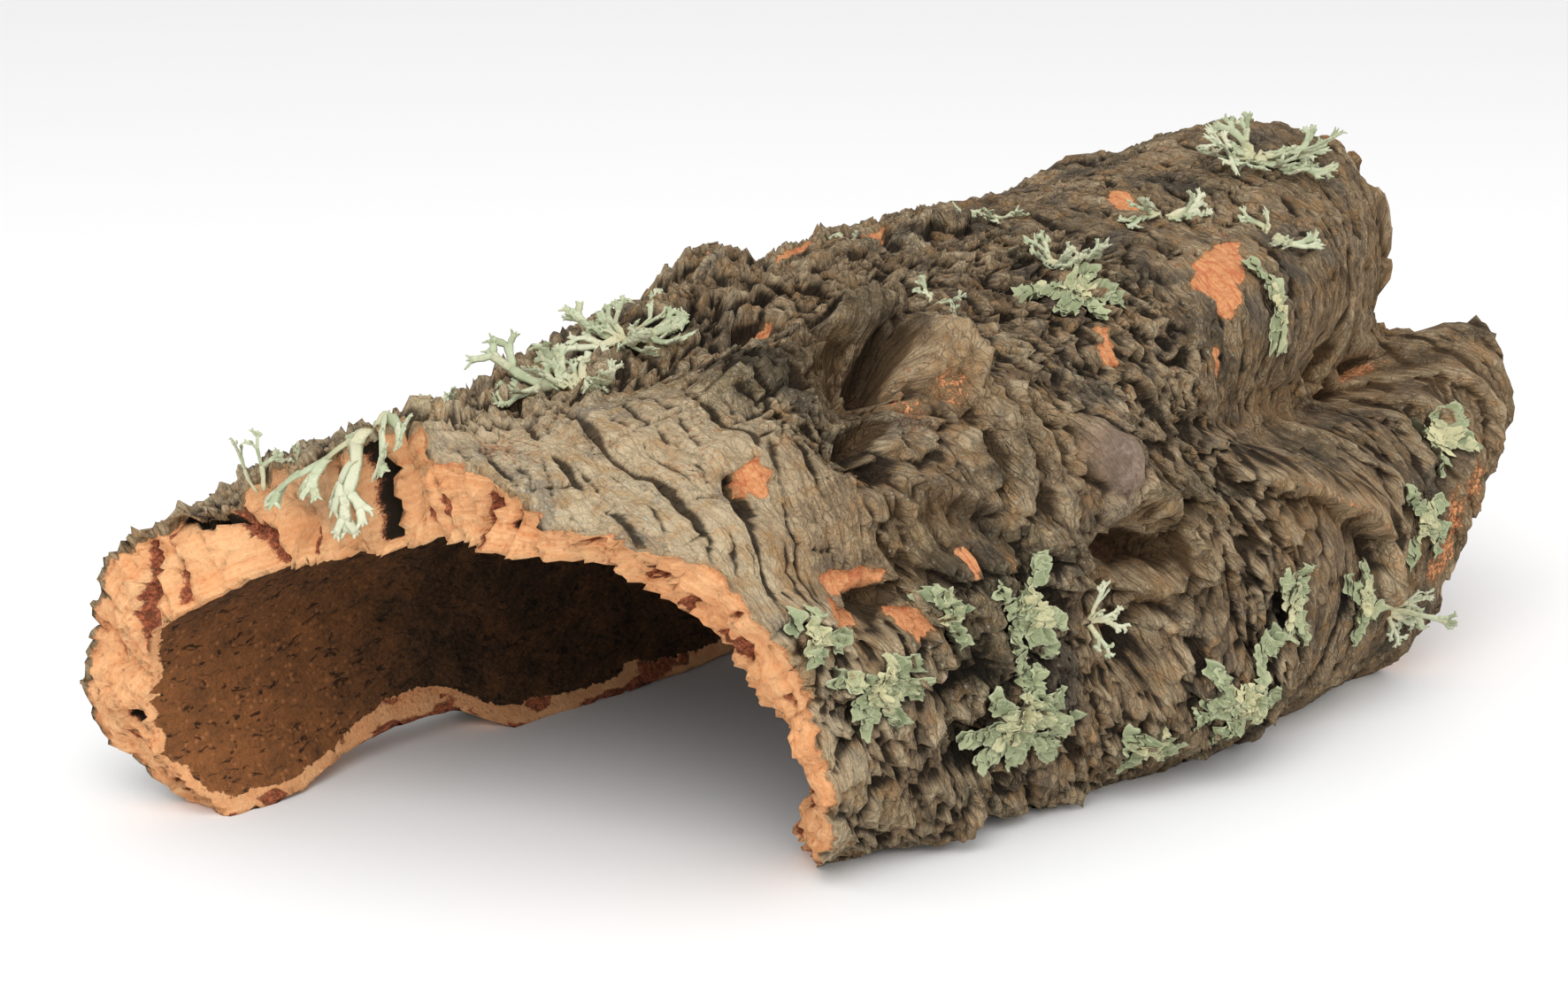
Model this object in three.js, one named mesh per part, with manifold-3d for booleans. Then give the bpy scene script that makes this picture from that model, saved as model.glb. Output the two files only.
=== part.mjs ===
// A tunnel of cork bark with lichens growing on it. The bark is one curved shell, open below and at
// both ends. Millimetres, +Z up, X along the tunnel with the wide mouth at -X, the ground at z = 0.
import * as THREE from 'three';
import Module from 'manifold-3d';

const wasm = await Module();
wasm.setup();

// Driving dimensions of the bark
const wallLeft = 24;
const wallRight = 19;
const innerFollow = 0.85;
const undercut = 1.55;
const arcScale = 90;
const firstAngle = -25;
const angleSpan = 230;
const plateHeight = 2.6;
const plateLength = 30;
const plateWidth = 21;
const faceSlant = 3.5;
const tearDepth = 2.7;
const seatGap = 0.3;

// Stations along the tunnel, [x, value]: the section is an oval about (centreY, midHeight)
const stations = {
  topHeight: [[-230, 88], [-180, 99], [-135, 103], [-112, 113], [-88, 121], [-40, 125], [20, 129],
    [60, 134], [110, 142], [145, 140], [175, 132]],
  midHeight: [[-230, 34], [0, 38], [175, 40]],
  centreY: [[-230, 0], [-60, 2], [40, 4], [110, 0], [175, -2]],
  halfLeft: [[-230, 90], [-100, 90], [60, 88], [175, 90]],
  halfRight: [[-180, 90], [-130, 91], [-60, 100], [0, 112], [40, 110], [80, 100], [110, 96],
    [175, 90]],
  footLeft: [[-215, 0], [-195, 0], [-165, 6], [-135, 7], [-112, -2], [-85, 0], [-50, 1], [0, 3],
    [60, -2], [110, -2], [175, 4]],
  footRight: [[-130, -2], [-105, 2], [-60, -2], [40, -2], [95, 0], [115, 3], [135, 12], [150, 28],
    [170, 45]],
};
const squareness = 2.3;

// The torn ends, [share of the way round from the left foot to the right foot, x]
const nearEdge = [[0, -212], [0.06, -224], [0.13, -231], [0.2, -226], [0.28, -214], [0.36, -200],
  [0.45, -195], [0.55, -187], [0.62, -181], [0.7, -167], [0.76, -159], [0.82, -153], [0.88, -147],
  [0.94, -141], [1, -130]];
const farEdge = [[0, 172], [0.2, 178], [0.4, 176], [0.52, 171], [0.58, 160], [0.63, 149],
  [0.7, 147], [0.75, 146], [0.8, 145], [0.84, 140], [0.885, 116], [0.93, 100], [1, 88]];

// The valley between the upper lobe and the lower right lobe, [x, angle, strength]
const valley = { width: 20, height: -38,
  path: [[170, 118, 1], [145, 129, 1], [100, 147, 1], [45, 151, 0.8], [-15, 152, 0.3]] };

// Knots, bosses and hollows, [x, angle, reach along, reach round in degrees, height]
const features = [
  [-190, 133, 25, 14, -15],
  [-192, 84, 16, 12, 9],
  [-114, 114, 13, 9, 8],
  [-84, 121, 10, 6.5, -14],
  [-96, 126, 10, 7, -6],
  [-82, 107, 15, 6, 6],
  [-72, 127, 8, 9, 7],
  [-110, 136, 8, 5, -8],
  [-45, 149, 11, 7, 6],
  [-42, 164, 13, 6, -13],
  [-38, 155, 16, 5, 6],
  [-42, 175, 13, 8, -11],
  [-127, 161, 9, 6, -9],
  [-70, 144, 10, 8, 5],
  [88, 141, 9, 5, -8],
  [-100, 196, 9, 6, 6],
  [-60, 68, 12, 7, 6],
  [120, 95, 22, 14, 4],
  [-10, 190, 22, 8, 5],
  [-120, 22, 16, 9, 5],
  [-30, 8, 14, 9, -6],
  [30, 38, 18, 10, 5],
  [110, 14, 15, 9, 6],
  [96, 48, 14, 8, -5],
];

// Raised and sunk runs, each a path like the valley's
const runs = [
  { width: 7, height: 9, path: [[9, 155, 0.6], [30, 160, 0.9], [49, 167, 1], [60, 173, 1],
    [55, 180, 0.7]] },
  { width: 7, height: 5, path: [[60, 158, 0.6], [97, 155, 1], [130, 152, 1]] },
  { width: 8, height: -5, path: [[-150, 152, 0.8], [-129, 154, 1], [-103, 153, 0.8],
    [-78, 158, 0.5]] },
  { width: 8, height: -5, path: [[-120, 92, 0.6], [-96, 104, 1], [-60, 108, 0.6]] },
  { width: 9, height: 4, path: [[-150, 110, 0.5], [-128, 130, 1], [-112, 146, 0.6]] },
];

// Pits in the torn near face, [share round, share through the wall, reach round, reach through, depth]
const facePits = [
  [0.15, 0.4, 0.035, 0.4, 5],
  [0.33, 0.5, 0.03, 0.5, 6],
  [0.47, 0.5, 0.03, 0.6, 8],
  [0.56, 0.5, 0.03, 0.5, 5],
  [0.9, 1, 0.04, 0.5, 12],
];

// Leafy lichens, [x, angle, radius, lobes]
const leafyPatches = [
  [-147, 161, 8, 5],
  [-127, 172, 13, 8],
  [-109, 163.5, 5, 4],
  [-83, 166, 11, 8],
  [-92, 185, 15, 9],
  [-14, 122, 9, 6],
  [52, 134, 8, 5],
  [-42, 192.5, 9, 6],
  [-12, 187, 13, 8],
  [12, 176, 8, 6],
  [38, 183, 7, 5],
  [82, 174, 9, 6],
  [112, 164, 9, 6],
];

// Shrubby lichens: root and shoots, each shoot [heading, rise, length, breadth]. Heading 0 runs
// towards +X and 90 round the bark towards its right side.
const shrubbyTufts = [
  { name: 'twin_twigs', root: [-205, 50], shoots: [[200, 62, 13], [60, 60, 12]] },
  { name: 'rim_twig', root: [-197, 53], shoots: [[60, 55, 8], [300, 50, 7]] },
  { name: 'rim_tuft', root: [-190, 76], shoots: [[225, 5, 21], [180, 0, 20], [145, 5, 19],
    [80, 25, 12], [250, 45, 12]], droop: 0.7 },
  { name: 'lying_branch', root: [-131, 82], shoots: [[262, 8, 36, 0.4], [235, 30, 13], [80, 12, 11]] },
  { name: 'branch_head', root: [-143, 50], shoots: [[200, 50, 9], [300, 50, 9], [90, 40, 8]] },
  { name: 'shoulder_tuft', root: [-113, 80], shoots: [[265, 18, 17], [300, 24, 15], [85, 16, 17],
    [110, 22, 14], [40, 26, 11]] },
  { name: 'shoulder_bits', root: [-88, 66], shoots: [[30, 30, 9], [250, 35, 9]] },
  { name: 'crest_bits', root: [-25, 78], shoots: [[60, 50, 6], [230, 45, 6]] },
  { name: 'crest_tuft', root: [24, 84], shoots: [[250, 20, 13], [215, 30, 12], [80, 18, 13],
    [100, 28, 12]] },
  { name: 'ledge_tuft', root: [-52, 114], shoots: [[280, 30, 9], [60, 22, 10], [110, 15, 10]] },
  { name: 'curled_tuft', root: [4, 113], shoots: [[250, 32, 12], [120, 22, 12], [160, 24, 10],
    [30, 30, 9]] },
  { name: 'far_strand', root: [50, 110], shoots: [[190, 20, 14], [60, 22, 10]] },
  { name: 'far_bits', root: [72, 121], shoots: [[300, 34, 10], [100, 20, 10]] },
  { name: 'great_tuft', root: [98, 103], shoots: [[180, 50, 19], [230, 60, 20], [290, 55, 20],
    [20, 45, 18], [110, 35, 18], [140, 20, 17]] },
  { name: 'flank_branch', root: [-60, 172], shoots: [[280, 30, 13, 0.8], [350, 30, 12], [70, 22, 10]] },
  { name: 'end_tuft', root: [66, 187], shoots: [[355, 40, 20], [30, 35, 18], [325, 45, 17]] },
];

const strapThickness = 1.2;
// The outline of a forked strap, [share of its length, share of its length to the side]
const antler = [[0, -0.08], [0.4, -0.07], [0.6, -0.25], [0.86, -0.46], [0.73, -0.22], [0.98, -0.2],
  [0.62, -0.11], [0.53, 0], [0.66, 0.09], [1.04, 0.07], [0.78, 0.19], [0.92, 0.45], [0.6, 0.26],
  [0.4, 0.08], [0, 0.08]];
const lobeThickness = 1.1;
// The rim of one lobe from the cut before it round its two-toothed end, as shares of the radius
const lobeRim = [0.5, 0.92, 1.04, 0.9, 1];
const rootDepth = 2.5;
const rootRadius = 2.4;
const rootStand = 1.6;
const draping = 2.2;
const overhangStart = 4;

// Plain helpers
const rad = Math.PI / 180;

// A smooth curve through stations, level beyond both ends
function curve(points, x) {
  const last = points.length - 1;
  if (x <= points[0][0]) return points[0][1];
  if (x >= points[last][0]) return points[last][1];
  let i = 0;
  while (x > points[i + 1][0]) i += 1;
  const rate = (k) => (points[k + 1][1] - points[k][1]) / (points[k + 1][0] - points[k][0]);
  const slope = (k) => {
    if (k === 0) return rate(0);
    if (k === last) return rate(last - 1);
    const before = points[k][0] - points[k - 1][0];
    const after = points[k + 1][0] - points[k][0];
    return (rate(k - 1) * after + rate(k) * before) / (before + after);
  };
  const h = points[i + 1][0] - points[i][0];
  const t = (x - points[i][0]) / h;
  return (2 * t ** 3 - 3 * t ** 2 + 1) * points[i][1] + (t ** 3 - 2 * t ** 2 + t) * h * slope(i)
    + (3 * t ** 2 - 2 * t ** 3) * points[i + 1][1] + (t ** 3 - t ** 2) * h * slope(i + 1);
}

// A steady number from 0 to 1 for a lattice point
function hash(i, j, seed) {
  let h = Math.imul(i + 4096, 374761393) ^ Math.imul(j + 4096, 668265263);
  h = Math.imul(h ^ Math.imul(seed + 1, 2246822519 | 0), 1274126177);
  h = Math.imul(h ^ (h >>> 15), 2246822519 | 0);
  return ((h ^ (h >>> 13)) >>> 0) / 4294967296;
}

// Smooth noise from -1 to 1
function noise(a, b, seed) {
  const i = Math.floor(a);
  const j = Math.floor(b);
  const s = (t) => t * t * (3 - 2 * t);
  const p = s(a - i);
  const q = s(b - j);
  const low = hash(i, j, seed) * (1 - p) + hash(i + 1, j, seed) * p;
  const high = hash(i, j + 1, seed) * (1 - p) + hash(i + 1, j + 1, seed) * p;
  return (low * (1 - q) + high * q) * 2 - 1;
}

// Height left by a run at a point of the unrolled bark: a bell across the nearest part of its path
function runHeight(run, x, angle) {
  let nearest = Infinity;
  let strength = 0;
  for (let k = 0; k + 1 < run.path.length; k += 1) {
    const [ax, aAngle, aStrength] = run.path[k];
    const [bx, bAngle, bStrength] = run.path[k + 1];
    const ay = aAngle * rad * arcScale;
    const by = bAngle * rad * arcScale;
    const y = angle * rad * arcScale;
    const share = ((x - ax) * (bx - ax) + (y - ay) * (by - ay)) / ((bx - ax) ** 2 + (by - ay) ** 2);
    const t = Math.min(1, Math.max(0, share));
    const away = Math.hypot(x - ax - t * (bx - ax), y - ay - t * (by - ay));
    if (away < nearest) {
      nearest = away;
      strength = aStrength + (bStrength - aStrength) * t;
    }
  }
  return run.height * strength * Math.exp(-((nearest / run.width) ** 2));
}

// The bark's section: a rounded oval, with a lower half that tucks in towards the feet. The inset
// takes the wall off its sides and top.
function baseRadius(x, angle, inset = 0) {
  const c = Math.cos(angle * rad);
  const s = Math.sin(angle * rad);
  const mid = curve(stations.midHeight, x);
  const half = curve(c > 0 ? stations.halfLeft : stations.halfRight, x) - inset;
  const rise = s > 0 ? curve(stations.topHeight, x) - mid - inset : mid * undercut;
  return (Math.abs(c / half) ** squareness + Math.abs(s / rise) ** squareness) ** (-1 / squareness);
}

function skinHeight(x, angle) {
  const y = angle * rad * arcScale;
  let height = plateHeight * noise(x / plateLength, y / plateWidth, 1);
  height += 0.5 * plateHeight * noise((2 * x) / plateLength, (2 * y) / plateWidth, 2);
  for (const [fx, fAngle, along, round, rise] of features) {
    height += rise * Math.exp(-(((x - fx) / along) ** 2) - ((angle - fAngle) / round) ** 2);
  }
  for (const run of runs) height += runHeight(run, x, angle);
  return height;
}

const formHeight = (x, angle) => runHeight(valley, x, angle);

const outerRadius = (x, angle) => baseRadius(x, angle) + formHeight(x, angle) + skinHeight(x, angle);

function innerRadius(x, angle) {
  const wall = wallRight + (wallLeft - wallRight) * (0.5 + 0.5 * Math.cos(angle * rad));
  const grain = 0.8 * noise(x / 24, angle / 13, 3);
  return baseRadius(x, angle, wall) + innerFollow * formHeight(x, angle) + grain;
}

function sectionPoint(x, angle, radius) {
  return new THREE.Vector3(x, curve(stations.centreY, x) + radius * Math.cos(angle * rad),
    curve(stations.midHeight, x) + radius * Math.sin(angle * rad));
}

// The angle at which a surface comes down to its foot, found by halving
function footAngle(x, side, radiusAt) {
  const target = Math.max(0, curve(side > 0 ? stations.footLeft : stations.footRight, x));
  let below = side > 0 ? -80 : 260;
  let above = side > 0 ? 60 : 120;
  for (let step = 0; step < 26; step += 1) {
    const middle = (below + above) / 2;
    if (sectionPoint(x, middle, radiusAt(x, middle)).z < target) below = middle;
    else above = middle;
  }
  return (below + above) / 2;
}

// The bark shell: u runs along the tunnel, v round it from the left foot to the right foot and
// w through the wall from the outside in
const shellSteps = { u: 43, v: 50, w: 3 };

function barkShell(grow) {
  const outerAt = (x, angle) => outerRadius(x, angle) + grow;
  const innerAt = (x, angle) => innerRadius(x, angle) - grow;
  const point = (u, v, w) => {
    let pit = 0;
    for (const [pv, pw, rv, rw, depth] of facePits) {
      pit += depth * Math.exp(-(((v - pv) / rv) ** 2) - ((w - pw) / rw) ** 2);
    }
    const near = curve(nearEdge, v) + faceSlant * w + pit + tearDepth * noise(v * 30, w * 2, 4) - grow;
    const far = curve(farEdge, v) - faceSlant * w + tearDepth * noise(v * 30, w * 2, 5) + grow;
    const x = near + (far - near) * u;
    const place = (radiusAt) => {
      const left = footAngle(x, 1, radiusAt);
      const right = footAngle(x, -1, radiusAt);
      const angle = left + (right - left) * v;
      return sectionPoint(x, angle, radiusAt(x, angle));
    };
    const found = place(outerAt).lerp(place(innerAt), w);
    if (v === 0 || v === 1) {
      found.z = Math.max(0, curve(v === 0 ? stations.footLeft : stations.footRight, x)) - grow;
    }
    found.z = Math.max(-grow, found.z);
    return found;
  };
  const { u: nu, v: nv, w: nw } = shellSteps;
  const known = new Map();
  const positions = [];
  const at = (i, j, k) => {
    const key = (i * (nv + 1) + j) * (nw + 1) + k;
    if (!known.has(key)) {
      known.set(key, positions.length / 3);
      positions.push(...point(i / nu, j / nv, k / nw).toArray());
    }
    return known.get(key);
  };
  const faces = [];
  const quad = (a, b, c, d) => faces.push(a, c, b, a, d, c);
  for (let i = 0; i < nu; i += 1) {
    for (let j = 0; j < nv; j += 1) {
      quad(at(i, j, 0), at(i + 1, j, 0), at(i + 1, j + 1, 0), at(i, j + 1, 0));
      quad(at(i, j, nw), at(i, j + 1, nw), at(i + 1, j + 1, nw), at(i + 1, j, nw));
    }
  }
  for (let j = 0; j < nv; j += 1) {
    for (let k = 0; k < nw; k += 1) {
      quad(at(0, j, k), at(0, j + 1, k), at(0, j + 1, k + 1), at(0, j, k + 1));
      quad(at(nu, j, k), at(nu, j, k + 1), at(nu, j + 1, k + 1), at(nu, j + 1, k));
    }
  }
  for (let i = 0; i < nu; i += 1) {
    for (let k = 0; k < nw; k += 1) {
      quad(at(i, 0, k), at(i, 0, k + 1), at(i + 1, 0, k + 1), at(i + 1, 0, k));
      quad(at(i, nv, k), at(i + 1, nv, k), at(i + 1, nv, k + 1), at(i, nv, k + 1));
    }
  }
  return solidOf(positions, faces);
}

// A closed solid from its points and triangles, turned round if its faces point inwards
function solidOf(positions, faces) {
  const made = new wasm.Manifold(new wasm.Mesh({
    numProp: 3,
    vertProperties: new Float32Array(positions),
    triVerts: new Uint32Array(faces),
  }));
  return made.volume() < 0 ? solidOf(positions, faces.reverse()) : made;
}

// Directions on the bark at a place: along the tunnel, round it, and straight out
function barkFrame(x, angle) {
  const smooth = (a, b) => sectionPoint(a, b, baseRadius(a, b) + formHeight(a, b));
  const along = smooth(x + 2, angle).sub(smooth(x - 2, angle)).normalize();
  const round = smooth(x, angle + 2).sub(smooth(x, angle - 2)).normalize();
  const out = round.clone().cross(along).normalize();
  return { along, round, out };
}

// Keeps a point at least a set height above the bark's outside, unless it hangs before the mouth
function lifted(point, height) {
  const dy = point.y - curve(stations.centreY, point.x);
  const dz = point.z - curve(stations.midHeight, point.x);
  let angle = Math.atan2(dz, dy) / rad;
  if (angle < -90) angle += 360;
  if (point.x < curve(nearEdge, (angle - firstAngle) / angleSpan) - overhangStart) return point;
  const radius = Math.max(Math.hypot(dy, dz), outerRadius(point.x, angle) + height);
  return sectionPoint(point.x, angle, radius);
}

// A small blunt root that goes into the bark, which everything in a tuft or patch starts from
function rootBody(x, angle, radius, height) {
  const { along, round, out } = barkFrame(x, angle);
  const centre = sectionPoint(x, angle, outerRadius(x, angle));
  const sides = 6;
  const positions = [];
  const faces = [];
  for (const [level, share] of [[-rootDepth, 1.1], [height, 0.8]]) {
    for (let k = 0; k < sides; k += 1) {
      const turn = (k / sides) * Math.PI * 2;
      const spot = centre.clone().addScaledVector(along, Math.cos(turn) * radius * share)
        .addScaledVector(round, Math.sin(turn) * radius * share).addScaledVector(out, level);
      positions.push(...spot.toArray());
    }
  }
  for (let k = 0; k < sides; k += 1) {
    const next = (k + 1) % sides;
    faces.push(k, next, sides + next, k, sides + next, sides + k);
    if (k > 0 && k < sides - 1) {
      faces.push(0, k + 1, k, sides, sides + k, sides + k + 1);
    }
  }
  return solidOf(positions, faces);
}

// One forked shoot: a flat antler-shaped strap that bends along its length and clears the bark
function shoot(tuft, [heading, rise, length, breadth = 1], seed) {
  const [x, angle] = tuft.root;
  const { along, round, out } = barkFrame(x, angle);
  const turn = heading * rad;
  const level = along.clone().multiplyScalar(Math.cos(turn))
    .addScaledVector(round, Math.sin(turn));
  const aside = level.clone().cross(out);
  const ahead = level.clone().multiplyScalar(Math.cos(rise * rad))
    .addScaledVector(out, Math.sin(rise * rad));
  const face = aside.clone().cross(ahead);
  const start = sectionPoint(x, angle, outerRadius(x, angle) + rootStand)
    .addScaledVector(level, rootRadius * 0.4);
  const mirror = hash(seed, 1, 12) > 0.5 ? 1 : -1;
  const middle = antler.map(([share, side], n) => {
    const curl = 0.16 * (hash(n, seed, 13) - 0.3) * share;
    const spot = start.clone().addScaledVector(ahead, share * length)
      .addScaledVector(aside, side * mirror * length * breadth)
      .addScaledVector(face, curl * length);
    spot.z -= (tuft.droop ?? 0) * length * share ** 2;
    return share === 0 ? spot : lifted(spot, draping);
  });
  const outline = antler.map(([share, side]) => new THREE.Vector2(share, side));
  const cells = THREE.ShapeUtils.triangulateShape(outline, []);
  const count = antler.length;
  const positions = [];
  for (const side of [0.5, -0.5]) {
    for (const spot of middle) {
      positions.push(...spot.clone().addScaledVector(face, side * strapThickness).toArray());
    }
  }
  const faces = [];
  for (const [a, b, c] of cells) faces.push(a, b, c, count + a, count + c, count + b);
  for (let n = 0; n < count; n += 1) {
    const next = (n + 1) % count;
    faces.push(n, count + n, count + next, n, count + next, next);
  }
  return solidOf(positions, faces);
}

// A shrubby lichen: forked shoots that rise from one root
function shrubbyLichen(tuft, index) {
  let body = rootBody(...tuft.root, rootRadius, rootStand + 0.4);
  tuft.shoots.forEach((spec, n) => {
    body = body.add(shoot(tuft, spec, index * 16 + n));
  });
  return body;
}

// A leafy lichen: one thin rosette rooted at its middle, cut deep between its lobes, whose notched
// rims lift
function leafyLichen([x, angle, radius, lobes], index) {
  const count = lobes * lobeRim.length;
  const place = (share, turn, level) => {
    const px = x + radius * share * Math.cos(turn);
    const pa = angle + (radius * share * Math.sin(turn)) / (baseRadius(x, angle) * rad);
    return sectionPoint(px, pa, outerRadius(px, pa) + level);
  };
  const positions = [];
  for (const side of [-0.5, 0.5]) {
    const thick = side * lobeThickness;
    positions.push(...place(0, 0, side < 0 ? -rootDepth : draping).toArray());
    for (let n = 0; n < count; n += 1) {
      const lobe = Math.floor(n / lobeRim.length);
      const share = lobeRim[n % lobeRim.length] * (0.65 + 0.6 * hash(lobe, index, 9));
      const tilt = 1 + 2.4 * hash(lobe, index, 10);
      const turn = ((n + 0.6 * hash(n, index, 8)) / count) * Math.PI * 2;
      positions.push(...place(share, turn, draping + tilt * share ** 2 + thick).toArray());
    }
  }
  const faces = [];
  const top = count + 1;
  for (let n = 0; n < count; n += 1) {
    const a = 1 + n;
    const b = 1 + (n + 1) % count;
    faces.push(0, b, a, top, top + a, top + b, a, b, top + b, a, top + b, top + a);
  }
  return solidOf(positions, faces);
}

// The largest single body of a solid
function largestBody(solid) {
  return solid.decompose().reduce((best, piece) => (piece.volume() > best.volume() ? piece : best));
}

function meshOf(solid, name, material) {
  const { vertProperties, triVerts } = solid.getMesh();
  const geometry = new THREE.BufferGeometry();
  geometry.setAttribute('position', new THREE.BufferAttribute(new Float32Array(vertProperties), 3));
  geometry.setIndex(new THREE.BufferAttribute(new Uint32Array(triVerts), 1));
  geometry.computeVertexNormals();
  const mesh = new THREE.Mesh(geometry, material);
  mesh.name = name;
  return mesh;
}

const barkMaterial = new THREE.MeshStandardMaterial({ color: 0x6f6250, roughness: 0.95 });
const leafyMaterial = new THREE.MeshStandardMaterial({ color: 0x8fa78c, roughness: 0.9 });
const shrubbyMaterial = new THREE.MeshStandardMaterial({ color: 0xb4bf9f, roughness: 0.9 });

const bark = barkShell(0);
const clearance = barkShell(seatGap);
const tunnel = new THREE.Group();
tunnel.add(meshOf(bark, 'bark', barkMaterial));
leafyPatches.forEach((patch, index) => {
  const body = largestBody(leafyLichen(patch, index).subtract(clearance));
  tunnel.add(meshOf(body, `leafy_lichen_${index + 1}`, leafyMaterial));
});
shrubbyTufts.forEach((tuft, index) => {
  const body = largestBody(shrubbyLichen(tuft, index).subtract(clearance));
  tunnel.add(meshOf(body, `shrubby_lichen_${tuft.name}`, shrubbyMaterial));
});

// The origin goes under the middle of the whole object's box, on the ground
const box = new THREE.Box3().setFromObject(tunnel);
const centre = box.getCenter(new THREE.Vector3());
tunnel.position.set(-centre.x, -centre.y, -box.min.z);

export default tunnel;
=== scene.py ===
import bpy
import numpy as np
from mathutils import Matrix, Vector


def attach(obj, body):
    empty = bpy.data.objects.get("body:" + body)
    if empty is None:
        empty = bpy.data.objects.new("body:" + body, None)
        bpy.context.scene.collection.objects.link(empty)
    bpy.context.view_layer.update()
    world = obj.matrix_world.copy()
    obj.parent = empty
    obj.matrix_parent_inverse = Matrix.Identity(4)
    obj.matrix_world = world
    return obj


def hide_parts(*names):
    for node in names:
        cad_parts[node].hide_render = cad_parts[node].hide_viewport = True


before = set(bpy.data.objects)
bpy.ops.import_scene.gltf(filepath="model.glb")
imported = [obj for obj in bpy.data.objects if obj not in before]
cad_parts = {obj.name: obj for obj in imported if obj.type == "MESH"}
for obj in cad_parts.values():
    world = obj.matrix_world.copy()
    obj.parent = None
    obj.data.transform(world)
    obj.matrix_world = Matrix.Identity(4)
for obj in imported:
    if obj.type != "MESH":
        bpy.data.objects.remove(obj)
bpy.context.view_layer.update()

# Lengths are millimetres along the tunnel's own lines until a mesh is made. Then the shift puts
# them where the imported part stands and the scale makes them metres.
shift = np.array([24.470, 10.221, 0.0])
toMetres = 0.001
rad = np.pi / 180


# numbers worked out as whole arrays

def fade(t):
    # 0 below zero, 1 above one, and a smooth S between: 3t^2 - 2t^3
    t = np.clip(t, 0, 1)
    return t * t * (3 - 2 * t)


def curve(points, x):
    # A smooth curve through stations, level beyond both ends: cubic pieces whose slope at a
    # station is the mean of the slopes on its two sides, weighted by the other side's length
    px, py = np.array(points, float).T
    gap = np.diff(px)
    rate = np.diff(py) / gap
    between = (rate[:-1] * gap[1:] + rate[1:] * gap[:-1]) / (gap[1:] + gap[:-1])
    slope = np.concatenate([rate[:1], between, rate[-1:]])
    x = np.clip(np.asarray(x, float), px[0], px[-1])
    i = np.clip(np.searchsorted(px, x, side="right") - 1, 0, len(gap) - 1)
    h = gap[i]
    t = (x - px[i]) / h
    return ((2 * t ** 3 - 3 * t ** 2 + 1) * py[i] + (t ** 3 - 2 * t ** 2 + t) * h * slope[i]
            + (3 * t ** 2 - 2 * t ** 3) * py[i + 1] + (t ** 3 - t ** 2) * h * slope[i + 1])


def hashAt(i, j, seed):
    # A steady number from 0 to 1 for a lattice point, by mixing its bits
    whole = np.uint32
    a = (np.asarray(i) + 4096).astype(np.int64).astype(whole)
    b = (np.asarray(j) + 4096).astype(np.int64).astype(whole)
    h = (a * whole(374761393)) ^ (b * whole(668265263))
    h = (h ^ whole(((seed + 1) * 2246822519) & 0xFFFFFFFF)) * whole(1274126177)
    h = (h ^ (h >> whole(15))) * whole(2246822519)
    return (h ^ (h >> whole(13))) / 4294967296.0


def noise(a, b, seed):
    # Smooth noise from -1 to 1: the lattice numbers round a point, blended with an S curve
    a, b = np.broadcast_arrays(np.asarray(a, float), np.asarray(b, float))
    i, j = np.floor(a), np.floor(b)
    p, q = fade(a - i), fade(b - j)
    low = hashAt(i, j, seed) * (1 - p) + hashAt(i + 1, j, seed) * p
    high = hashAt(i, j + 1, seed) * (1 - p) + hashAt(i + 1, j + 1, seed) * p
    return (low * (1 - q) + high * q) * 2 - 1


def cloud(a, b, seed, layers=3):
    # Layers of noise, each twice as fine and half as strong as the one before
    total, size, weight = 0, 1.0, 0.0
    for k in range(layers):
        total = total + size * noise(a * 2 ** k + 7.3 * k, b * 2 ** k + 3.1 * k, seed + k)
        weight += size
        size *= 0.5
    return total / weight


def creased(a, b, seed):
    # Rounded lumps with sharp valleys between them: the noise without its sign, from 0 to 1
    return np.abs(noise(a, b, seed)) ** 0.8


def ridged(a, b, seed):
    # Sharp crests with soft valleys, 0 to 1: one less the noise without its sign, squared
    return (1 - np.abs(noise(a, b, seed))) ** 2


def polyline(t, seed):
    # A zigzag of straight stretches from -1 to 1 with a corner at every whole number
    i = np.floor(t)
    low, high = hashAt(i, 0 * i, seed), hashAt(i + 1, 0 * i, seed)
    return (low + (high - low) * (t - i)) * 2 - 1


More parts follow.
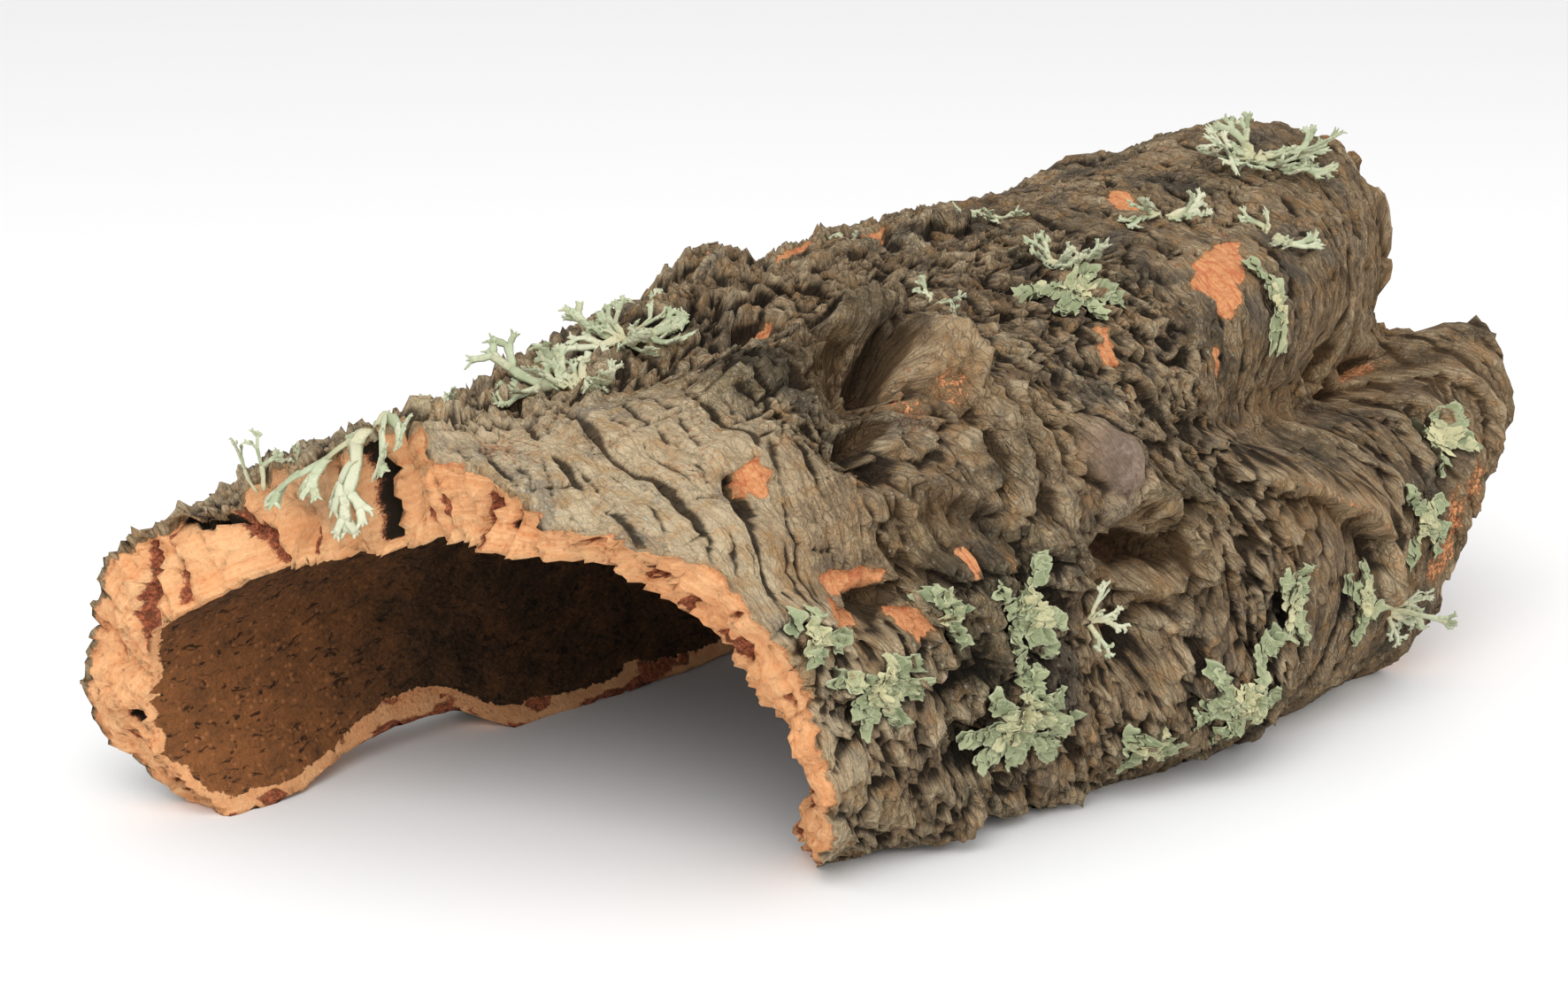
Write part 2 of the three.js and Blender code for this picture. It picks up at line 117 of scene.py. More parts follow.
def cells(x, y, sizeX, sizeY, seed):
    # Plates: one scattered point per lattice square of a stretched lattice. Gives the distance in
    # mm to the border with the next plate, the offset from the plate's own point in shares of a
    # square, and two steady numbers of the plate
    a, b = x / sizeX, y / sizeY
    i, j = np.floor(a), np.floor(b)
    first = np.full(a.shape, 1e9)
    second = np.full(a.shape, 1e9)
    found = np.zeros((6,) + a.shape)
    for di in (-1, 0, 1):
        for dj in (-1, 0, 1):
            ci, cj = i + di, j + dj
            px = ci + 0.08 + 0.84 * hashAt(ci, cj, seed)
            py = cj + 0.08 + 0.84 * hashAt(ci, cj, seed + 1)
            d = np.hypot(a - px, b - py)
            nearer = d < first
            runnerUp = ~nearer & (d < second)
            for at, value in ((3, found[0]), (4, found[1])):
                found[at] = np.where(nearer, value, found[at])
            found[3] = np.where(runnerUp, px, found[3])
            found[4] = np.where(runnerUp, py, found[4])
            second = np.where(nearer, first, np.where(runnerUp, d, second))
            first = np.where(nearer, d, first)
            found[0] = np.where(nearer, px, found[0])
            found[1] = np.where(nearer, py, found[1])
            found[2] = np.where(nearer, hashAt(ci, cj, seed + 2), found[2])
            found[5] = np.where(nearer, hashAt(ci, cj, seed + 3), found[5])
    nx, ny = found[3] - found[0], found[4] - found[1]
    size = np.maximum(1e-6, np.hypot(nx, ny))
    border = ((found[3] + found[0]) / 2 - a) * nx + ((found[4] + found[1]) / 2 - b) * ny
    border = border / size / np.hypot(nx / size / sizeX, ny / size / sizeY)
    return border, a - found[0], b - found[1], found[2], found[5]


def courses(x, arc, width, length, seed):
    # Rows of long plates that run round the arch: the distance in mm to the fissure beside the row
    # and to the crack across it, the offset from the plate's middle in shares, two steady numbers
    a = x / width + 0.45 * noise(x / (2.5 * width), arc / (1.2 * length), seed)
    row = np.floor(a)
    b = arc / length + 7.0 * hashAt(row, 0 * row, seed + 1) + 0.1 * noise(x / width, arc / width, seed + 2)
    plate = np.floor(b)
    s, t = a - row, b - plate
    fissure = np.minimum(s, 1 - s) * width
    across = np.minimum(t, 1 - t) * length
    return fissure, across, s - 0.5, t - 0.5, hashAt(row, plate, seed + 3), hashAt(row, plate, seed + 4)


def runField(path, x, arc, scale):
    # Distance from a path of [x, angle, strength] on the unrolled bark, and the strength there
    nearest = np.full(np.shape(x), 1e9)
    strength = np.zeros(np.shape(x))
    for (ax, aAngle, aStrong), (bx, bAngle, bStrong) in zip(path, path[1:]):
        ay, by = aAngle * rad * scale, bAngle * rad * scale
        share = ((x - ax) * (bx - ax) + (arc - ay) * (by - ay)) / ((bx - ax) ** 2 + (by - ay) ** 2)
        t = np.clip(share, 0, 1)
        away = np.hypot(x - ax - t * (bx - ax), arc - ay - t * (by - ay))
        closer = away < nearest
        nearest = np.where(closer, away, nearest)
        strength = np.where(closer, aStrong + (bStrong - aStrong) * t, strength)
    return nearest, strength


# the bark's form

form = {
    "wallLeft": 24, "wallRight": 19, "innerFollow": 0.85, "undercut": 1.55, "arcScale": 90,
    "firstAngle": -25, "angleSpan": 230, "plateHeight": 2.6, "plateLength": 30, "plateWidth": 21,
    "squareness": 2.3,
    "topHeight": [[-230, 88], [-180, 99], [-135, 103], [-112, 113], [-88, 121], [-40, 125], [20, 129],
                  [60, 134], [110, 142], [145, 140], [175, 132]],
    "midHeight": [[-230, 34], [0, 38], [175, 40]],
    "centreY": [[-230, 0], [-60, 2], [40, 4], [110, 0], [175, -2]],
    "halfLeft": [[-230, 90], [-100, 90], [60, 88], [175, 90]],
    "halfRight": [[-180, 90], [-130, 91], [-60, 100], [0, 112], [40, 110], [80, 100], [110, 96], [175, 90]],
    "footLeft": [[-215, 0], [-195, 0], [-165, 6], [-135, 7], [-112, -2], [-85, 0], [-50, 1], [0, 3],
                 [60, -2], [110, -2], [175, 4]],
    "footRight": [[-130, -2], [-105, 2], [-60, -2], [40, -2], [95, 0], [115, 3], [135, 12], [150, 28],
                  [170, 45]],
    "nearEdge": [[0, -212], [0.06, -224], [0.13, -231], [0.2, -226], [0.28, -214], [0.36, -200],
                 [0.45, -195], [0.55, -187], [0.62, -181], [0.7, -167], [0.76, -159], [0.82, -153],
                 [0.88, -147], [0.94, -141], [1, -130]],
    "farEdge": [[0, 172], [0.2, 178], [0.4, 176], [0.52, 171], [0.58, 160], [0.63, 149], [0.7, 147],
                [0.75, 146], [0.8, 145], [0.84, 140], [0.885, 116], [0.93, 100], [1, 88]],
    "valley": {"width": 20, "height": -38,
               "path": [[170, 118, 1], [145, 129, 1], [100, 147, 1], [45, 151, 0.8], [-15, 152, 0.3]]},
    # knots, bosses and hollows, [x, angle, reach along, reach round in degrees, height]
    "features": [
        [-190, 133, 25, 14, -15], [-192, 84, 16, 12, 9], [-114, 114, 13, 9, 8], [-84, 121, 10, 6.5, -14],
        [-96, 126, 10, 7, -6], [-82, 107, 15, 6, 6], [-72, 127, 8, 9, 7], [-110, 136, 8, 5, -8],
        [-45, 149, 11, 7, 6], [-42, 164, 13, 6, -13], [-38, 155, 16, 5, 6], [-42, 175, 13, 8, -11],
        [-127, 161, 9, 6, -9], [-70, 144, 10, 8, 5], [88, 141, 9, 5, -8], [-100, 196, 9, 6, 6],
        [-60, 68, 12, 7, 6], [120, 95, 22, 14, 4], [-10, 190, 22, 8, 5], [-120, 22, 16, 9, 5],
        [-30, 8, 14, 9, -6], [30, 38, 18, 10, 5], [110, 14, 15, 9, 6], [96, 48, 14, 8, -5]],
    "runs": [
        {"width": 7, "height": 9, "path": [[9, 155, 0.6], [30, 160, 0.9], [49, 167, 1], [60, 173, 1],
                                           [55, 180, 0.7]]},
        {"width": 7, "height": 5, "path": [[60, 158, 0.6], [97, 155, 1], [130, 152, 1]]},
        {"width": 8, "height": -5, "path": [[-150, 152, 0.8], [-129, 154, 1], [-103, 153, 0.8],
                                            [-78, 158, 0.5]]},
        {"width": 8, "height": -5, "path": [[-120, 92, 0.6], [-96, 104, 1], [-60, 108, 0.6]]},
        {"width": 9, "height": 4, "path": [[-150, 110, 0.5], [-128, 130, 1], [-112, 146, 0.6]]}],
}


def arcOf(angle):
    # Length round the unrolled bark for an angle, on a circle of the usual radius
    return np.asarray(angle, float) * rad * form["arcScale"]


def runHeight(run, x, angle):
    # A bell across the nearest part of a path: height * strength * e^-(distance / width)^2
    away, strength = runField(run["path"], x, arcOf(angle), form["arcScale"])
    return run["height"] * strength * np.exp(-(away / run["width"]) ** 2)


def baseRadius(x, angle, inset=0):
    # The section is a rounded oval: (|cos|/half)^n + (|sin|/rise)^n = 1 / radius^n, where the rise
    # below the middle is longer, so that the sides tuck in towards the feet
    c, s = np.cos(angle * rad), np.sin(angle * rad)
    mid = curve(form["midHeight"], x)
    half = np.where(c > 0, curve(form["halfLeft"], x), curve(form["halfRight"], x)) - inset
    rise = np.where(s > 0, curve(form["topHeight"], x) - mid - inset, mid * form["undercut"])
    n = form["squareness"]
    return (np.abs(c / half) ** n + np.abs(s / rise) ** n) ** (-1 / n)


def skinHeight(x, angle):
    # Broad lumps of noise, then each knot or hollow as a bell, then each run
    arc = arcOf(angle)
    along, across = x / form["plateLength"], arc / form["plateWidth"]
    height = form["plateHeight"] * (noise(along, across, 1) + 0.5 * noise(2 * along, 2 * across, 2))
    for fx, fAngle, reach, turn, rise in form["features"]:
        height = height + rise * np.exp(-((x - fx) / reach) ** 2 - ((angle - fAngle) / turn) ** 2)
    for run in form["runs"]:
        height = height + runHeight(run, x, angle)
    return height


def outerRadius(x, angle):
    return baseRadius(x, angle) + runHeight(form["valley"], x, angle) + skinHeight(x, angle)


def innerRadius(x, angle):
    wall = form["wallRight"] + (form["wallLeft"] - form["wallRight"]) * (0.5 + 0.5 * np.cos(angle * rad))
    grain = 0.8 * noise(x / 24, angle / 13, 3)
    return baseRadius(x, angle, wall) + form["innerFollow"] * runHeight(form["valley"], x, angle) + grain


def sectionPoint(x, angle, radius):
    # A point of the section at x: the middle plus the radius turned by the angle, 0 left and 90 up
    x = np.broadcast_to(x, np.shape(radius))
    return np.stack([x, curve(form["centreY"], x) + radius * np.cos(angle * rad),
                     curve(form["midHeight"], x) + radius * np.sin(angle * rad)], -1)


def footTable(radiusAt, side):
    # For a row of stations, the angle at which a surface comes down to its foot, by halving
    xs = np.linspace(-245, 195, 221)
    target = np.maximum(0, curve(form["footLeft" if side > 0 else "footRight"], xs))
    below = np.full(xs.shape, -80.0 if side > 0 else 260.0)
    above = np.full(xs.shape, 60.0 if side > 0 else 120.0)
    for step in range(26):
        middle = (below + above) / 2
        low = sectionPoint(xs, middle, radiusAt(xs, middle))[..., 2] < target
        below, above = np.where(low, middle, below), np.where(low, above, middle)
    return xs, (below + above) / 2


footOf = {(surface, side): footTable(radiusAt, side)
          for surface, radiusAt in (("outer", outerRadius), ("inner", innerRadius)) for side in (1, -1)}


def angleAt(surface, x, v):
    # The angle of a share v of the way round from the left foot to the right foot
    left = np.interp(x, *footOf[surface, 1])
    right = np.interp(x, *footOf[surface, -1])
    return left + (right - left) * v


# the bark's crags, cracks and holes

crags = {
    # plates by zone: width and length in mm, step between plates, tilt, fissure depth and width
    "mouthPlates": [[13, 36, 1.9, 0.5, 4.0, 0.7], [5.5, 14, 0.4, 0.3, 1.3, 0.32]],
    "farPlates": [[10, 26, 1.6, 1.0, 3.0, 0.6], [4.4, 10, 0.5, 0.6, 1.4, 0.35]],
    # lumps by zone: size along and round in mm, step between lumps, tilt, crack depth and width
    "middlePlates": [[13, 17, 4.6, 4.6, 2.8, 0.7], [5.2, 7.5, 2.2, 2.8, 1.5, 0.42],
                     [2.3, 3.2, 0.7, 1.0, 0.5, 0.3]],
    "lean": 0.45, "flakeShove": 0.9, "pitDepth": 2.6, "pitSize": 3.4,
    # places where sinews run: x, angle, half lengths in mm
    "sinewy": [[-66, 144, 26, 22], [-88, 152, 22, 16], [104, 146, 26, 18], [-135, 156, 14, 16],
               [70, 160, 30, 22]],
    # sharp ridges: width and height in mm, share of bare cork on the crest, path of [x, angle, strength]
    "ridges": [
        [2.6, 3.4, 0.1, [[-108.5, 135, 0.6], [-99.5, 144, 1], [-87.5, 150, 1], [-74, 157, 1],
                         [-60, 164, 0.7]]],
        [2.4, 4.0, 0.0, [[-72, 124, 0.8], [-72.5, 136, 1], [-74, 144, 1], [-77, 153, 0.6]]],
        [2.0, 3.2, 0.0, [[-66, 126, 0.6], [-64, 136, 1], [-66, 146, 1], [-70, 155, 0.5]]],
        [2.2, 3.4, 0.0, [[-68, 135, 0.6], [-60.5, 136, 1], [-57.5, 142, 1], [-59, 150, 0.8],
                         [-66, 156, 0.5]]],
        [2.0, 3.0, 0.0, [[-84, 141, 0.8], [-85, 149, 1], [-80, 156, 0.6]]],
        [2.6, 4.2, 0.05, [[-52, 157, 0.8], [-40, 155.5, 1], [-27, 158.5, 1], [-20, 164, 1], [-22, 170, 0.6]]],
        [2.2, 3.0, 0.0, [[-46, 165, 0.7], [-38, 169.5, 1], [-28, 170, 0.8]]],
        [2.4, 5.0, 0.54, [[8, 158, 0.4], [20, 160.5, 1], [34, 165, 1], [46, 169, 1], [53, 174, 1],
                          [53, 181, 0.7]]],
        [2.4, 4.4, 0.0, [[78, 145, 0.5], [92, 150, 1], [101, 157, 1], [98, 164, 0.8], [90, 169, 0.5]]],
        [2.4, 4.4, 0.0, [[92, 144, 0.5], [108, 150, 1], [115, 158, 1], [112, 166, 0.8], [104, 171, 0.5]]],
        [2.2, 4.0, 0.0, [[104, 143, 0.5], [124, 150, 1], [130, 158, 1], [128, 166, 0.6]]],
        [2.6, 4.4, 0.1, [[62, 152, 0.5], [72, 158, 1], [76, 166, 1], [70, 173, 0.5]]],
        [2.2, 2.6, 0.1, [[-20, 150, 0.6], [10, 152, 1], [34, 152, 0.7], [60, 148, 0.5]]],
        [2.0, 2.4, 0.0, [[-152, 157, 0.5], [-140, 160, 1], [-132, 168, 0.7]]]],
    # holes and knobs with a plain edge: x, angle, half length along, half length round in mm, turn in
    # degrees, height, softness of the edge, share of bare cork, share of smooth dark knot
    "spots": [
        [-89, 119.5, 5.5, 10.5, 26, -5, 0.25, 0.32, 0.0],   # the tan trough left of the slot
        [-81, 122, 2.8, 10, 28, -15, 0.14, 0.0, 0.0],       # the deep slot below the ledge
        [-77, 113, 13, 3.4, 10, 9, 0.10, 0.1, 0.0],         # the ledge over it
        [-73.5, 127, 5.2, 14, 18, 6.5, 0.10, 0.2, 0.0],     # the capped slab beside it
        [-104, 135, 4.0, 5.0, 0, -9, 0.14, 0.0, 0.0],       # the square pit
        [-49, 150, 6.5, 8.5, 15, 4, 0.12, 0.0, 1.0],        # the smooth knot
        [149, 114, 7, 6, 10, 5.5, 0.10, 0.30, 0.0],         # ragged lips of the far rim
        [148, 121, 5, 4, -10, 5.0, 0.10, 0.42, 0.0],
        [153, 103, 5, 3.5, 0, 3.2, 0.10, 0.50, 0.0],
        [160, 95, 5, 5, 20, 2.6, 0.10, 0.52, 0.0],
        [-76.5, 120, 2.6, 5.5, 12, -8, 0.14, 0.0, 0.0],     # dark cavities of the middle
        [-97, 133, 4.5, 4.2, 0, -7, 0.16, 0.30, 0.0],
        [-82, 148, 1.5, 8, 12, -6, 0.16, 0.0, 0.0],
        [-70, 151, 1.4, 7, -14, -6, 0.16, 0.0, 0.0],
        [-20, 139, 1.5, 6, 8, -6, 0.16, 0.0, 0.0],
        [98, 147, 5, 1.8, 20, -6, 0.16, 0.2, 0.0],
        [-38, 164, 11.5, 3.8, 36, -15, 0.14, 0.0, 0.0],     # the eye-shaped hole
        [-33, 170, 9, 4, 24, 2, 0.3, 0.12, 0.0],            # the tan lower lid
        [-44, 177, 6, 7, 0, -9, 0.2, 0.0, 0.0],             # the hollow under it
        [92.5, 139.5, 6, 3.2, -25, -10, 0.18, 0.0, 0.0],    # the holes in the crotch
        [101, 146, 5, 3, -20, -10, 0.18, 0.0, 0.0],
        [118, 140.5, 6, 2.4, -10, -9, 0.2, 0.0, 0.0],
        [-122, 160.5, 4.6, 4.6, 0, -6, 0.2, 0.0, 0.0],      # the pit ringed with cork
        [-95, 99.5, 5, 2.6, 10, -6, 0.2, 0.0, 0.0],
        [-107, 141, 7, 3, -30, -6, 0.16, 0.0, 0.0],
        [-142, 137, 2.2, 8, 12, -7, 0.16, 0.0, 0.0],        # the black notch between plates
        [-69, 141, 1.8, 11, 2, -8, 0.2, 0.0, 0.0],          # dark clefts between the sinews
        [-80, 147, 1.8, 8, 12, -8, 0.2, 0.0, 0.0],
        [-61, 146, 1.6, 7, -6, -6, 0.2, 0.0, 0.0],
        [-72, 168, 8, 4, 30, -6, 0.25, 0.0, 0.0],
        [-104, 175, 7, 5, -20, -7, 0.2, 0.0, 0.0],
        [-96, 187, 9, 5, 0, -6, 0.25, 0.0, 0.0],
        [-20, 30, 9, 6, 30, -8, 0.2, 0.0, 0.0],
        [60, 22, 7, 11, -20, 4, 0.2, 0.0, 0.8],
        [-95, 35, 6, 10, 10, -6, 0.2, 0.0, 0.0],
        [120, 60, 8, 5, 40, -6, 0.2, 0.1, 0.0]],
    # places of another tint: x, angle, half lengths in mm, tan share, darkness
    "tints": [
        [108, 143, 30, 14, 0.36, 0.0], [62, 149, 26, 8, 0.34, 0.0], [-33, 163, 19, 13, 0.34, -0.1],
        [-90, 121, 12, 14, 0.40, -0.1], [-76, 128, 9, 16, 0.34, -0.1], [34, 167, 26, 9, 0.34, 0.0],
        [-122, 156, 14, 8, 0.34, 0.0], [-98, 150, 14, 8, 0.30, 0.0], [-66, 145, 16, 14, 0.22, -0.1],
        [-150, 118, 22, 26, 0.10, -0.35], [-135, 112, 20, 16, 0.10, -0.25], [150, 118, 20, 26, 0.20, -0.2],
        [128, 150, 24, 22, 0.22, -0.25], [-120, 84, 32, 20, 0.0, 0.5], [-100, 104, 16, 10, 0.0, 0.5],
        [-108, 142, 13, 9, 0.0, 0.6], [-118, 190, 24, 16, 0.0, 0.4], [-38, 184, 14, 10, 0.0, 0.5],
        [-84, 170, 12, 7, 0.0, 0.5], [-40, 104, 24, 14, 0.0, 0.3], [20, 100, 24, 12, 0.0, 0.35],
        [88, 126, 16, 12, 0.0, 0.2], [60, 188, 30, 14, 0.0, 0.3],
        [-180, 74, 16, 12, 0.25, -0.6], [-165, 92, 24, 16, 0.12, -0.5], [-140, 128, 18, 12, 0.1, -0.4],
        [-60, 116, 16, 8, 0.0, 0.4], [-20, 114, 26, 10, 0.0, 0.3], [112, 176, 16, 18, 0.30, -0.3],
        [78, 180, 12, 12, 0.2, -0.3]],
    # places where the grey rind is off and the cork shows: slabs by their corners [x, angle], and
    # rounder ones by x, angle, half lengths in mm, turn and strength
    "slabs": [
        [[26, 127.5], [32, 124.5], [49, 120.5], [58, 121.5], [49, 127.5], [34, 135.5], [30, 135.5]],
        [[-141, 134], [-138, 131.5], [-133, 130.5], [-132.5, 134], [-136, 137.5], [-141.5, 137.5]],
        [[44, 103], [52, 96], [56, 97], [50, 104.5], [46, 105.5]],
        [[-18, 130.5], [-12, 130.5], [-15, 136], [-22, 139], [-24, 136]]],
    "bare": [
        [-124, 155.5, 7, 3, 10, 0.95], [-129, 161, 2.6, 6, -30, 0.95],
        [-116, 164, 4.5, 2.6, 20, 0.9], [-94, 101, 5, 2.2, 0, 0.9], [-97, 158, 2.2, 6, 10, 0.8],
        [-112, 140, 2.5, 5, 0, 0.45], [-148, 108, 3, 6, 10, 0.4], [24, 141, 2.4, 4.5, 0, 0.85],
        [-40, 72, 12, 2.5, 0, 0.7], [-10, 76, 10, 2.5, 0, 0.7], [-62, 70, 10, 2.5, 0, 0.5],
        [150, 93, 7, 9, 0, 0.7], [114, 171, 4.5, 8, 30, 0.55], [103, 176, 5, 8, 30, 0.58],
        [95, 182, 5, 8, 30, 0.55], [-89, 133, 3, 5, 10, 0.5], [-79, 133, 2.5, 4, 10, 0.5],
        [-84, 160, 2.5, 4, 0, 0.5], [118, 143, 9, 2.5, -10, 0.6], [60, 148, 12, 2.2, 0, 0.45],
        [60, 40, 9, 7, 15, 0.8], [-60, 12, 6, 9, 20, 0.7], [-150, 30, 7, 6, 0, 0.7], [10, 55, 4, 10, 10, 0.6],
        [-204, 62, 8, 16, 0, 0.55], [-200, 74, 5, 12, 0, 0.5]],
}


def spotField(x, angle, spot):
    # Distance from a spot's middle in shares of its half lengths, after turning it on the bark
    sx, sAngle, halfAlong, halfRound, turn = spot[:5]
    a = x - sx
    b = (angle - sAngle) * rad * form["arcScale"]
    c, s = np.cos(turn * rad), np.sin(turn * rad)
    return np.hypot((a * c + b * s) / halfAlong, (b * c - a * s) / halfRound)


def plateField(x, arc, layers, seed, depthMap):
    # Layers of tilted lumps: each one's own height and tilt, less a crack along its borders that
    # is a sharp bell of the distance to them; the cracks' depth changes from place to place
    height, tone, crack = 0, 0, 0
    for k, (sizeX, sizeY, step, tilt, deep, wide) in enumerate(layers):
        border, a, b, one, two = cells(x, arc, sizeX, sizeY, seed + 10 * k)
        width = wide * (0.6 + 0.9 * fade(0.5 + noise(x / (2 * sizeX), arc / (2 * sizeY), seed + 5 + k)))
        line = np.exp(-(np.maximum(border, 0) / width) ** 1.6) * depthMap
        slant = tilt * (a * (2 * two - 1) + b * (2 * one - 1)) * 0.6
        height = height + step * (one - 0.5) + slant - deep * line
        tone = tone + (two - 0.5) / (1 + k)
        crack = np.maximum(crack, line / (1 + 0.6 * k))
    return height, tone, crack


def insideSlab(x, arc, corners):
    # How far inside a convex outline a place lies, in mm: the least distance to its sides
    px = np.array([c[0] for c in corners], float)
    py = arcOf([c[1] for c in corners])
    turn = np.sign(np.sum(px * np.roll(py, -1) - np.roll(px, -1) * py))
    least = np.full(np.shape(x), 1e9)
    for ax, ay, bx, by in zip(px, py, np.roll(px, -1), np.roll(py, -1)):
        side = ((bx - ax) * (arc - ay) - (by - ay) * (x - ax)) / np.hypot(bx - ax, by - ay)
        least = np.minimum(least, turn * side)
    return least


def courseField(x, arc, layers, seed):
    # Layers of plates in rows: each one's own height and tilt, less deep fissures between the rows
    # that open and close along their way, and a thin crack across each row
    height, tone, crack = 0, 0, 0
    for k, (width, length, step, tilt, deep, wide) in enumerate(layers):
        fissure, across, s, t, one, two = courses(x, arc, width, length, seed + 10 * k)
        opened = fade(0.4 + 1.2 * noise(x / (0.9 * width), arc / (0.45 * length), seed + 6 + k))
        line = np.exp(-(fissure / (wide * (0.4 + 1.2 * opened))) ** 1.7) * (0.18 + 0.82 * opened)
        thin = 0.45 * np.exp(-(across / (0.7 * wide)) ** 1.7) * (0.4 + 0.6 * two)
        line = np.maximum(line, thin)
        slant = tilt * (s * (2 * two - 1) + t * (2 * one - 1))
        height = height + step * (one - 0.5) + slant - deep * line
        tone = tone + (two - 0.5) / (1 + k)
        crack = np.maximum(crack, line / (1 + 0.6 * k))
    return height, tone, crack


def groundRelief(x, angle, arc):
    # The height, plate tone and cracks of the bark before its single marks. Near the mouth and on
    # the far lobe plates lie in rows round the arch; in the middle there are crumbly lumps and
    # pits, with sinews where they are named. Places are moved by noise first, so that no line is
    # straight.
    wx = (x + 2.2 * noise(x / 16, arc / 22, 21) + 1.0 * noise(x / 5, arc / 7, 22)
          + 0.45 * noise(x / 1.9, arc / 2.6, 42))
    wy = (arc + 4.0 * noise(x / 15, arc / 19, 23) + 1.6 * noise(x / 5, arc / 6, 24)
          + 0.5 * noise(x / 2.1, arc / 2.3, 43))
    rowX = (x + 0.2 * arc + 1.6 * noise(x / 22, arc / 26, 27) + 0.5 * noise(x / 4, arc / 6, 28)
            + 0.25 * noise(x / 1.6, arc / 2, 29))
    mouth = (fade((-114 - x + 9 * noise(x / 20, arc / 20, 25)) / 14) * fade((161 - angle) / 6)
             * fade((angle - 88 + 8 * noise(x / 12, arc / 12, 31)) / 10))
    far = fade((x - 8 + 14 * noise(x / 20, arc / 20, 26)) / 20)
    middle = np.clip(1 - mouth - far, 0, 1)
    sinewy = 0.15
    for sx, sAngle, halfAlong, halfRound in crags["sinewy"]:
        sinewy = sinewy + np.exp(-((x - sx) / halfAlong) ** 2 - ((arc - arcOf(sAngle)) / halfRound) ** 2)
    sinewy = np.minimum(sinewy, 1)
    crumbly = 1 - 0.75 * sinewy

    sinews = (ridged(wx / 5 + 0.25 * noise(wx / 12, wy / 18, 46), wy / 38, 37)
              + 0.6 * ridged(wx / 2.4, wy / 15, 44) - 0.6)
    crumbs = ridged(wx / 3.0, wy / 4.0, 36) + 0.7 * ridged(wx / 1.4, wy / 1.9, 45) - 0.65
    fibres = noise(wx / 1.1, wy / 9, 33)
    facets = polyline(wx / 2.2 + noise(wx / 6, wy / 6, 50), 51) * noise(wx / 4, wy / 5, 52)
    size = crags["pitSize"]
    pits = (fade((noise(wx / size, wy / (1.3 * size), 47) - 0.36) / 0.22)
            * fade(0.9 + noise(x / 15, arc / 15, 48)))
    crackDepth = fade(1.1 + 0.9 * noise(x / 13, arc / 17, 30))
    mouthHeight, mouthTone, mouthCrack = courseField(rowX, arc, crags["mouthPlates"], 100)
    farHeight, farTone, farCrack = courseField(rowX, wy, crags["farPlates"], 140)
    midHeight, midTone, midCrack = plateField(wx, wy, crags["middlePlates"], 180, crackDepth)
    mouthHeight = mouthHeight + 0.28 * fibres + 0.25 * crumbs
    farHeight = (farHeight + 1.4 * sinewy * sinews + 0.7 * crumbs + 0.6 * facets + 0.4 * fibres
                 - 0.5 * crags["pitDepth"] * pits * crumbly)
    midHeight = (midHeight * (0.4 + 0.6 * crumbly) + 3.0 * sinewy * sinews + (0.6 + 1.5 * crumbly) * crumbs
                 + 1.6 * facets + 0.6 * fibres - crags["pitDepth"] * pits * crumbly)
    # pits join the cracks, which the finish paints dark as painted shade in them
    midCrack = np.maximum(midCrack * crumbly, 0.8 * pits * crumbly)
    height = mouth * mouthHeight + far * farHeight + middle * midHeight + 0.3 * noise(wx / 0.9, wy / 1.3, 39)
    tone = mouth * mouthTone + far * farTone + middle * midTone
    return height, tone, mouth * mouthCrack + far * farCrack + middle * midCrack


def relief(x, angle):
    # The bark's fine height over its broad skin, with the bare cork, smooth knot, plate tone and
    # cracks that it shows: the ground, then tinted places, sharp ridges, holes and knobs with plain
    # edges, slabs and spots of bare cork
    arc = arcOf(angle)
    height, tone, crack = groundRelief(x, angle, arc)
    cork = np.zeros(np.shape(height))
    knot = np.zeros(np.shape(height))
    wobble = 0.16 * noise(x / 4, arc / 4, 40) + 0.12 * noise(x / 1.7, arc / 1.7, 41)
    for tx, tAngle, halfAlong, halfRound, tan, dark in crags["tints"]:
        near = np.exp(-((x - tx) / halfAlong) ** 2 - ((arc - arcOf(tAngle)) / halfRound) ** 2)
        cork = np.maximum(cork, tan * near * (1 + 2 * wobble))
        tone = tone - dark * near * (1 + 2 * wobble)
    for width, rise, bareShare, path in crags["ridges"]:
        away, strength = runField(path, x + 1.2 * noise(x / 5, arc / 5, 49), arc, form["arcScale"])
        crest = strength * np.exp(-(away / (width * (1 + 1.5 * wobble))) ** 2)
        trough = strength * np.exp(-((away - 2.1 * width) / width) ** 2)
        height = height * (1 - 0.2 * crest) + rise * crest - 0.35 * rise * trough
        cork = np.maximum(cork, bareShare * crest ** 3)
    for spot in crags["spots"]:
        rise, soft, bareShare, knotShare = spot[5:]
        inside = 1 / (1 + np.exp(np.clip((spotField(x, angle, spot) + wobble - 1) / soft, -30, 30)))
        calm = 0.9 if knotShare > 0 else 0.2
        height = height * (1 - calm * inside) + rise * inside
        crack = crack * (1 - 0.8 * inside)
        # deep holes count as full cracks, which the finish paints near-black as painted shade
        if rise < -5:
            crack = np.maximum(crack, 1.4 * inside ** 2)
        cork = np.maximum(cork, bareShare * inside)
        knot = np.maximum(knot, knotShare * inside)
    for corners in crags["slabs"]:
        inside = fade((insideSlab(x, arc, corners) + 4.5 * wobble) / 0.9 + 0.5)
        cork = np.maximum(cork, inside)
        height = height * (1 - 0.75 * inside) - 0.9 * inside
        crack = crack * (1 - 0.8 * inside)
    for patch in crags["bare"]:
        inside = fade((1.12 - spotField(x, angle, patch) - 2.6 * wobble) / 0.2)
        bared = patch[5] * inside
        cork = np.maximum(cork, bared)
        height = height - 1.3 * bared - 0.4 * bared * height
        crack = crack * (1 - 0.5 * inside)
    v = (angle - form["firstAngle"]) / form["angleSpan"]
    fromMouth = x - curve(form["nearEdge"], v)
    height = height * (0.45 + 0.55 * fade(fromMouth / 9))
    return height, cork, knot, tone, crack


